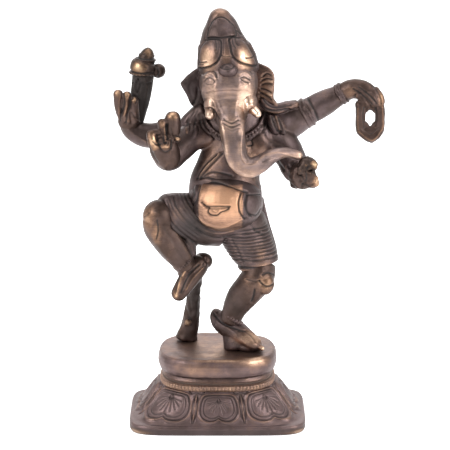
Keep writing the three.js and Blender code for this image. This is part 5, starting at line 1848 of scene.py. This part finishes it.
        # Painted highlights: the face's sides, the cheek at the viewer's right, the bright lines down both
        # edges of the trunk and the underside of its bend. The other patches lighten the middle of the face,
        # the brow, and the trunk's root and tip.
        wear_and_light_patches = [
            WearAndLightPatch((-3.6, -13, 104), (3.0, 6, 7), .5), WearAndLightPatch((9.6, -14, 102.4), (3.6, 7, 7.4), .8),
            WearAndLightPatch((3, -15, 105), (5, 6, 9), .2), WearAndLightPatch((9.4, -15, 101), (4.4, 5, 3.4), .9),
            WearAndLightPatch((3.6, -19, 95), (3, 4, 5), .35), WearAndLightPatch((10.4, -23, 75), (6, 3, 2.2), .5),
            WearAndLightPatch((7, -22.6, 78), (3, 3, 3), .3), WearAndLightPatch((30, -17, 81.6), (4, 2, 1.6), .45),
            WearAndLightPatch((-5, -12, 110), (3, 4, 3), .3), WearAndLightPatch((0.6, -18, 91.3), (1.1, 4, 4), .6),
            WearAndLightPatch((2.0, -20, 84.7), (1.1, 4, 5), .6), WearAndLightPatch((3.9, -21, 78.2), (2, 4, 2.4), .5),
            WearAndLightPatch((8.5, -22, 76.5), (3.4, 4, 1.3), .45), WearAndLightPatch((7.8, -17, 91.9), (1.2, 4, 4), .4),
            WearAndLightPatch((7.2, -20, 84.7), (1, 4, 4), .4), WearAndLightPatch((24.4, -17, 81.7), (6, 3, 1), .35),
        ]
        # The back of the head is darkened.
        casting.add_soot_and_shade([WearAndLightPatch((3, 12, 105), (15, 8, 14), .4)])
        return casting.polish_and_highlight(wear_and_light_patches)

    def ear(self, outline: Sequence[Spot], lean: float, pivot: float, cup: float) -> Shell:
        """A leaf of brass: rings from its middle to its rim and back, thinned at the rim by a
        quarter circle, cupped by the square of the distance from its root, and leaned about an
        upright line.

        Args:
            outline: its rim, as x and z.
            lean: the turn about an upright line, in radians.
            pivot: where that line stands along X.
            cup: how deeply it is cupped, 10 mm from the line.

        Returns:
            The closed surface.
        """
        way = curved(outline, 10, True)[:-1]
        middle = way.mean(0)
        share = np.sin(np.linspace(0, math.pi, 60))[:, None]
        face = np.sign(np.linspace(1, -1, 60))[:, None]
        flat = middle + (way - middle) * share[..., None]
        thick = 1.5 * face * np.sqrt(np.clip(1 - share**3, 0, 1))
        y = thick - cup * ((flat[..., 0] - pivot) / 10) ** 2
        x = flat[..., 0] - pivot
        c, s = math.cos(lean), math.sin(lean)
        points = np.stack([pivot + c * x - s * y, s * x + c * y + 0.6, flat[..., 1] + 0 * x], -1)
        return gridded(points)

    def right_ear(self) -> Casting:
        """The ear at the viewer's left: dark, pointed and smooth, with a rolled edge.

        Returns:
            The casting, with its relief and its wear.
        """
        outline = [
            (-4, 114), (-10, 112.4), (-15.6, 108), (-16.0, 106.4), (-13.8, 102.5), (-11, 97.6), (-4, 96)
        ]
        casting = Casting.fused([self.ear(outline, .25, -6, .5)], self.voxel, 3)
        casting.chase([
            Line([(-9.4, 108.6), (-11.7, 106.6), (-12.1, 103.8), (-10.6, 99.5)], .9, .35),
            Line([(-11.0, 97.9), (-9.4, 100.7), (-9.0, 104.6)], .5, .4),
            Line([(-12.2, 97.1), (-10.2, 98.7)], .4, .35),
        ])
        # The whole ear is dulled and darkened.
        return casting.dent(5, .14, 1).tarnish(.3).add_soot_and_shade([WearAndLightPatch((-12, 0, 104), (14, 9, 14), .55)])

    def left_ear(self) -> Casting:
        """The ear at the viewer's right, with its folds running down to the scarf.

        Returns:
            The casting, with its relief and its wear.
        """
        outline = [
            (10, 114), (17, 114), (20.8, 111), (21.2, 106), (21, 101), (23, 97.4), (17, 95.5), (10, 96.5)
        ]
        casting = Casting.fused([self.ear(outline, -.25, 12, .3)], self.voxel, 3)
        casting.chase([
            Line([(16.3, 109.4), (17.7, 110.5), (19.4, 109.9)], .4, .5),
            Line([(15.9, 107.7), (17.7, 108.5), (19.9, 108.2)], .38, .5),
            Line([(15.9, 106.0), (17.7, 106.5), (20.0, 106.2)], .38, .5),
            Line([(15.6, 104.6), (17.5, 104.1), (19.7, 102.9)], .38, .55),
            Line([(15.3, 103.0), (17.3, 101.9), (19.7, 100.5)], .4, .55),
            Line([(15.2, 101.2), (17.2, 99.5), (20.1, 98.1)], .4, .55),
            Line([(16.0, 106.9), (17.7, 107.6), (19.9, 107.3)], .4, -.3),
            Line([(15.4, 103.8), (17.3, 103.0), (19.7, 101.7)], .4, -.3),
        ])
        return casting.polish_and_highlight([WearAndLightPatch((18, -1, 105), (6, 5, 12), .5)])

    def tusk(self, points: Sequence[Point], first: float, last: float, shine: float) -> Casting:
        """A short tusk, rubbed bright."""
        casting = Casting.fused([taper(points, first, last)], .26, 2)
        return casting.polish_and_highlight([WearAndLightPatch(points[-1], (4, 4, 4), shine)])

    def crown(self) -> Casting:
        """A tall pointed crown: ovals up a path, two bright pillows in front and two behind, a leaf
        over them and the bud at the tip, with lappets round the sides.

        Returns:
            The casting, with its relief and its wear.
        """
        rows = [
            (3, -1, 110.5, 11.7, 12.3), (2.7, -1, 113, 11.8, 12.4), (1.8, -.8, 117.5, 10.9, 11.6),
            (.9, -.5, 121.5, 9.7, 10.1), (.4, -.3, 125.5, 8.1, 8.4), (.1, 0, 129.5, 6.4, 6.4),
            (-.4, 0, 133, 4.4, 4.4), (-.7, 0, 136, 2.5, 2.5),
        ]
        casting = Casting.fused([limb(rows, domes=(.6, 1.6), rings=110, sides=90)], .27, 3)
        left = [
            (-8.8, 115.3), (-8.7, 118.5), (-7.8, 121.6), (-5.8, 123.6), (-3.1, 124.1), (-0.2, 123.7),
            (0.3, 121.2), (0.0, 118.1), (-1.3, 115.3), (-3.9, 113.3), (-7.0, 112.6), (-9.2, 112.8)
        ]
        right = [
            (3.2, 124.2), (5.9, 124.7), (8.6, 124.0), (10.6, 121.6), (12.1, 118.9), (13.7, 115.7),
            (14.0, 113.7), (11.4, 113.7), (7.7, 114.8), (5.4, 116.3), (4.1, 118.6), (3.6, 121.6)
        ]
        leaf = [
            (-5.4, 125.9), (-4.9, 128.0), (-3.5, 130.8), (-1.7, 132.3), (0.2, 132.7), (2.2, 132.0),
            (3.9, 130.6), (5.3, 129.1), (6.0, 127.1), (5.9, 125.2), (2.8, 124.9), (-0.3, 124.5),
            (-3.6, 124.6), (-5.6, 124.4)
        ]
        casting.emboss([Boss(left, 1.3, 3.4), Boss(right, 1.2, 3.4), Boss(leaf, .45, 1.2)])
        casting.chase([
            Line(left, .34, .5, True), Line(right, .34, .5, True), Line(leaf, .32, .45, True),
            Line([(-2.1, 123.4), (-1.7, 121.6), (-1.9, 119.7)], .3, .4),
            Line([(-1.1, 123.6), (-0.7, 121.6), (-0.9, 120.0)], .28, .3),
            Line([(4.5, 124.0), (4.8, 122.2), (5.7, 120.6)], .3, .4),
            Line([(5.7, 124.0), (6.0, 122.6), (6.8, 121.4)], .28, .3),
            Line([(-9.0, 115.1), (-7.4, 114.9), (-5.7, 115.2)], .32, .45),
            Line([(-9.0, 114.1), (-7.0, 114.0)], .28, .3),
            Line([(10.0, 116.6), (11.4, 116.7), (12.9, 117.2)], .32, .45),
            Line([(6.2, 127.5), (7.2, 126.7), (8.0, 125.8)], .32, .4),
            Line([(-6.0, 123.8), (-7.0, 122.8), (-7.9, 121.2)], .34, .4),
            Line([(7.4, 124.6), (9.0, 123.8), (10.2, 122.6)], .34, .4),
            Line([(0.4, 117.7), (1.6, 117.1), (3.6, 117.3)], .34, .3),
            Line([(1.2, 123.6), (1.1, 120.4), (1.1, 118.1)], .26, .16),
        ])
        behind = [(-8.6, 112.2), (-8.4, 118), (-6, 122.6), (-1, 124), (1, 118), (-1.6, 113), (-5, 111.6)]
        mirrored = [(5.0 - x, z) for x, z in behind]
        crest = [(-3.4, 125.4), (-2.4, 130), (.6, 133), (4, 130), (5.4, 125.4), (1.4, 124.6)]
        casting.emboss([Boss(behind, 1.1, 3), Boss(mirrored, 1.1, 3), Boss(crest, .5, 1.4)], Sheet.BACK)
        casting.chase(
            [Line(behind, .34, .5, True), Line(mirrored, .34, .5, True), Line(crest, .32, .4, True)],
            Sheet.BACK
        )
        for sheet in (Sheet.VIEWER_LEFT, Sheet.VIEWER_RIGHT):
            lappet = [(-3.4, 112.4), (-3.8, 118), (-.4, 122.4), (3, 118), (2.6, 112.4)]
            casting.emboss([Boss(lappet, .3, 2.2)], sheet)
            casting.chase([Line(lappet, .34, .45, True), Line([(-.4, 114), (-.4, 119)], .3, .35)], sheet)
        wear_and_light_patches = [WearAndLightPatch((-5.4, -10.5, 117), (3.6, 4, 5.4), .95), WearAndLightPatch((9.6, -10.6, 118.4), (3.6, 4, 5), .95),
                WearAndLightPatch((2, -12, 119), (2, 3, 5), .5), WearAndLightPatch((0, -2, 135), (4, 4, 3), .45),
                WearAndLightPatch((2.5, 11.5, 117), (9, 4, 5), .35)]
        return casting.dent(5, .07, 1).polish_and_highlight(wear_and_light_patches)

    def jewel(self) -> Casting:
        """The oval jewel on the brow: a rim, a raised middle and a drilled hole.

        Returns:
            The casting, with its relief and its wear.
        """
        casting = Casting.fused(
            [blob((2.8, -13.2, 113.8), (3.8, 3, 2.8)), blob((2.9, -14.6, 113.6), (2.4, 1.9, 1.5))], .24, 2
        )
        casting.chase([
            Line(
                [
                    (-0.9, 114.5), (-0.1, 115.6), (2.1, 116.0), (4.4, 115.6), (5.5, 114.4), (4.7, 112.9),
                    (2.1, 112.2), (-0.1, 112.9)
                ],
                .26, .4, True
            ),
            Line([(0.8, 113.9), (2.4, 114.5), (3.9, 113.9)], .24, .3),
            Line([(1.2, 113.1), (2.8, 113.0)], .22, .25),
        ])
        return casting.chase([Line([(-0.1, 114.1), (0.3, 113.6)], .5, .7)])

    def build(self) -> None:
        """Makes and dresses the head."""
        self.face().dress("head_and_trunk_cast", Metal.FACE.value, "head_and_trunk")
        self.right_ear().dress("right_ear_rolled", Metal.FIGURE.value, "right_ear")
        self.left_ear().dress("left_ear_folded", Metal.FIGURE.value, "left_ear")
        right = self.tusk([(-3.9, -9.4, 98.4), (-4.2, -12.6, 97), (-4.1, -14.8, 95.6)], 2.1, 1.7, .35)
        right.dress("right_tusk_stub", Metal.TUSK.value, "right_tusk")
        left = self.tusk([(11.2, -9.6, 99.4), (13.2, -12.4, 97.8), (14.9, -14.6, 96.3)], 2.3, 1.3, .95)
        left.dress("left_tusk_pointed", Metal.TUSK.value, "left_tusk")
        self.crown().dress("crown_lobed", Metal.ORNAMENT.value, "crown")
        self.jewel().dress("forehead_jewel_set", Metal.ORNAMENT.value, "forehead_jewel")


@dataclass
class Ornaments:
    """The beaded necklace and the two leaves on the shoulders."""

    bead_step: float = 1.5
    cord: Sequence[Point] = (
        (-7.5, 1, 94), (-5.2, -4.4, 90.4), (-.6, -6.9, 86.8), (6.5, -7.8, 85.6), (12.6, -6.9, 88),
        (16.2, -4.2, 92), (17, 2, 95),
    )

    def necklace(self) -> Casting:
        """Two cords side by side with a row of beads between them. Each cord is a round section
        carried along the neck's curve, and the beads stand at equal steps along it.

        Returns:
            The casting, with its relief and its wear.
        """
        line = np.array(self.cord, float)
        rough = between(line, np.linspace(0, len(line) - 1, 300))
        way = np.r_[0, np.cumsum(np.linalg.norm(np.diff(rough, axis=0), axis=1))]
        steps = np.arange(self.bead_step, way[-1] - self.bead_step / 2, self.bead_step)
        places = np.stack([np.interp(steps, way, rough[:, k]) for k in range(3)], 1)
        parts = [
            limb([[*(p + shift), 0.55, 0.6] for p in line], sides=16, rings=90)
            for shift in ([0, -.1, 1.2], [0, -.4, -1.0])
        ]
        parts.append(limb([[*p, 1.4, 0.9] for p in line + [0, .7, 0]], sides=24, rings=90))
        parts += [blob(tuple(p + [0, -.6, 0]), (.55, .7, .7)) for p in places]
        return Casting.fused(parts, .24, 1)

    def shoulder_leaf(self, centre: Point, halves: Point, turn: float, mirror: int) -> Casting:
        """A curled double leaf lying on the shoulder.

        Args:
            centre: the middle of the first lobe.
            halves: its half sizes.
            turn: the turn about Y, in radians.
            mirror: 1 or -1, the side that the second lobe lies on.

        Returns:
            The leaf.
        """
        x, y, z = centre
        parts = [
            blob(centre, halves, turn),
            blob((x + mirror * 2.7, y + .5, z - .2), (halves[0] * .85, halves[1], halves[2] * .96), turn)
        ]
        return Casting.fused(parts, .26, 2)

    def build(self) -> None:
        """Makes and dresses the ornaments."""
        metal = Metal.ORNAMENT.value
        self.necklace().dress("necklace_beaded", metal, "necklace")
        right = self.shoulder_leaf((-10.6, -6.6, 87), (1.9, 2.6, 4.6), .25, -1)
        right.chase([
            Line([(-13.2, 93.1), (-14.7, 90.3), (-14.6, 86.7), (-13.0, 85.3)], .4, .5),
            Line([(-12.0, 92.7), (-11.2, 89.9), (-12.2, 86.7), (-13.8, 85.5)], .4, .5),
            Line([(-12.7, 91.9), (-13.5, 89.5), (-13.4, 87.1)], .4, -.35),
        ])
        right.dress("right_shoulder_leaf_curled", metal, "right_shoulder_leaf")
        left = self.shoulder_leaf((20.4, -4.6, 91), (1.9, 2.6, 4.3), -.4, 1)
        left.chase([
            Line([(20.3, 95.1), (20.5, 91.5), (22.1, 88.1), (23.7, 87.3)], .45, .55),
            Line([(21.8, 95.2), (22.9, 92.3), (23.9, 88.3)], .45, .5),
            Line([(23.5, 95.3), (24.8, 92.7), (26.6, 89.1), (25.7, 87.5)], .45, .55),
            Line([(21.1, 94.7), (21.9, 91.5), (23.1, 88.3)], .45, -.35),
            Line([(22.9, 95.1), (24.2, 91.9), (25.3, 88.4)], .45, -.35),
        ])
        left.dress("left_shoulder_leaf_curled", metal, "left_shoulder_leaf")


# ---------------------------------------------------------------------------------------
# The studio
# ---------------------------------------------------------------------------------------


@dataclass
class Softbox:
    """A soft light: where it hangs and what it looks at, in metres from the figure."""

    name: str
    place: Point
    size: Spot
    power: float
    aim: Point = (0.0, 0.0, 0.09)

    def hang(self) -> None:
        """Adds the lamp."""
        lamp = bpy.data.lights.new(self.name, "AREA")
        lamp.shape = "RECTANGLE"
        lamp.size, lamp.size_y = self.size
        lamp.energy = self.power
        box = bpy.data.objects.new(self.name, lamp)
        middle = np.array(PLINTH_MIDDLE) * MM * [1, 1, 0]
        place = np.array(self.place) + middle
        way = np.array(self.aim) + middle - place
        box.location = place
        flat = math.hypot(way[0], way[1])
        box.rotation_euler = (
            math.pi / 2 + math.atan2(way[2], flat), 0, math.atan2(way[1], way[0]) - math.pi / 2
        )
        bpy.context.scene.collection.objects.link(box)


@dataclass
class Studio:
    """The pale floor, the soft lights, the sky and the camera."""

    camera_pitch: float = 13.672
    lens: float = 155.7
    floor_half: float = 4.0
    dark_front: Spot = (-0.75, 0.6)
    sky_levels: Spot = (0.07, 1.0)
    floor_colour: Colour = (0.93, 0.93, 0.94)
    softboxes: Sequence[Softbox] = (
        Softbox("key_upper_left", (-0.54, -0.42, 0.5), (0.3, 0.3), 4.8),
        Softbox("fill_right", (0.55, -0.38, 0.36), (0.3, 0.4), 4.4),
        Softbox("top", (0.05, 0.1, 0.8), (0.7, 0.6), 4.0),
        Softbox("rim_behind", (-0.1, 0.8, 0.5), (1.2, 0.4), 3.0),
    )

    def floor(self) -> None:
        """A wide level sheet at the plinth's foot."""
        half, low = self.floor_half, PLINTH_LOW[2] * MM - 1e-5
        mesh = bpy.data.meshes.new("studio_floor")
        mesh.from_pydata(
            [(-half, -half, low), (half, -half, low), (half, half, low), (-half, half, low)], [],
            [(0, 1, 2, 3)]
        )
        bench = Bench("floor_paper")
        where = bench.node("ShaderNodeTexCoord", {}, {}, "Object")
        tone = bench.mixed(bench.noise(where, 14, 2), self.floor_colour, (0.9, 0.9, 0.91))
        inputs = {
            "Base Color": tone, "Roughness": 0.8, "Emission Color": (1.0, 1.0, 1.0), "Emission Strength": 0.62
        }
        paper = bench.node("ShaderNodeBsdfPrincipled", {}, inputs, "BSDF")
        output = bench.tree.nodes.new("ShaderNodeOutputMaterial")
        bench.tree.links.new(paper.socket, output.inputs["Surface"])
        mesh.materials.append(bench.material)
        sheet = bpy.data.objects.new("studio_floor", mesh)
        bpy.context.scene.collection.objects.link(sheet)

    def sky(self) -> None:
        """White to the eye, and greyer to the metal, bright behind the figure and dim in front."""
        world = bpy.data.worlds.new("studio_sky")
        world.use_nodes = True
        bpy.context.scene.world = world
        tree = world.node_tree
        tree.nodes.clear()
        kinds = ("ShaderNodeTexCoord", "ShaderNodeSeparateXYZ", "ShaderNodeMapRange", "ShaderNodeLightPath")
        where, split, bright, path = (tree.nodes.new(kind) for kind in kinds)
        bright.interpolation_type = "SMOOTHSTEP"
        bright.inputs["From Min"].default_value, bright.inputs["From Max"].default_value = self.dark_front
        bright.inputs["To Min"].default_value, bright.inputs["To Max"].default_value = self.sky_levels
        kinds = ("ShaderNodeBackground", "ShaderNodeBackground", "ShaderNodeMixShader", "ShaderNodeOutputWorld")
        seen, lit, mix, output = (tree.nodes.new(kind) for kind in kinds)
        seen.inputs["Color"].default_value = (1, 1, 1, 1)
        lit.inputs["Color"].default_value = (1.0, 0.985, 0.975, 1)
        link = tree.links.new
        link(where.outputs["Generated"], split.inputs[0])
        link(split.outputs["Y"], bright.inputs["Value"])
        link(bright.outputs[0], lit.inputs["Strength"])
        link(path.outputs["Is Camera Ray"], mix.inputs[0])
        link(lit.outputs[0], mix.inputs[1])
        link(seen.outputs[0], mix.inputs[2])
        link(mix.outputs[0], output.inputs["Surface"])

    def camera(self) -> None:
        """The camera at its place in front, looking a little down."""
        lens = bpy.data.cameras.new("portrait_camera")
        lens.lens, lens.sensor_width = self.lens, 36.0
        lens.clip_start, lens.clip_end = 0.05, 50.0
        camera = bpy.data.objects.new("portrait_camera", lens)
        camera.location = (np.array([SEAT_X, SEAT_Y, SEAT_Z]) + FIGURE_ORIGIN) * MM
        camera.rotation_euler = (math.radians(90 - self.camera_pitch), 0, 0)
        bpy.context.scene.collection.objects.link(camera)
        bpy.context.scene.camera = camera

    def build(self) -> None:
        """Sets the studio up."""
        self.camera()
        self.floor()
        self.sky()
        for softbox in self.softboxes:
            softbox.hang()
        bpy.context.scene.view_settings.view_transform = "Standard"
        bpy.context.scene.view_settings.look = "None"


def corners(box: Any) -> list[list[float]]:
    """A box's two corners as plain lists."""
    return [[float(value) for value in corner] for corner in box]


def main() -> None:
    """Builds the studio and every sub-assembly."""
    logging.basicConfig(level=logging.INFO, format="%(name)s: %(message)s")
    Studio().build()
    for assembly in (Base(), Legs(), Cloth(), Body(), Hands(), Head(), Ornaments()):
        LOG.info("building %s", type(assembly).__name__.lower())
        assembly.build()
    bpy.context.view_layer.update()


if __name__ == "__main__":
    main()
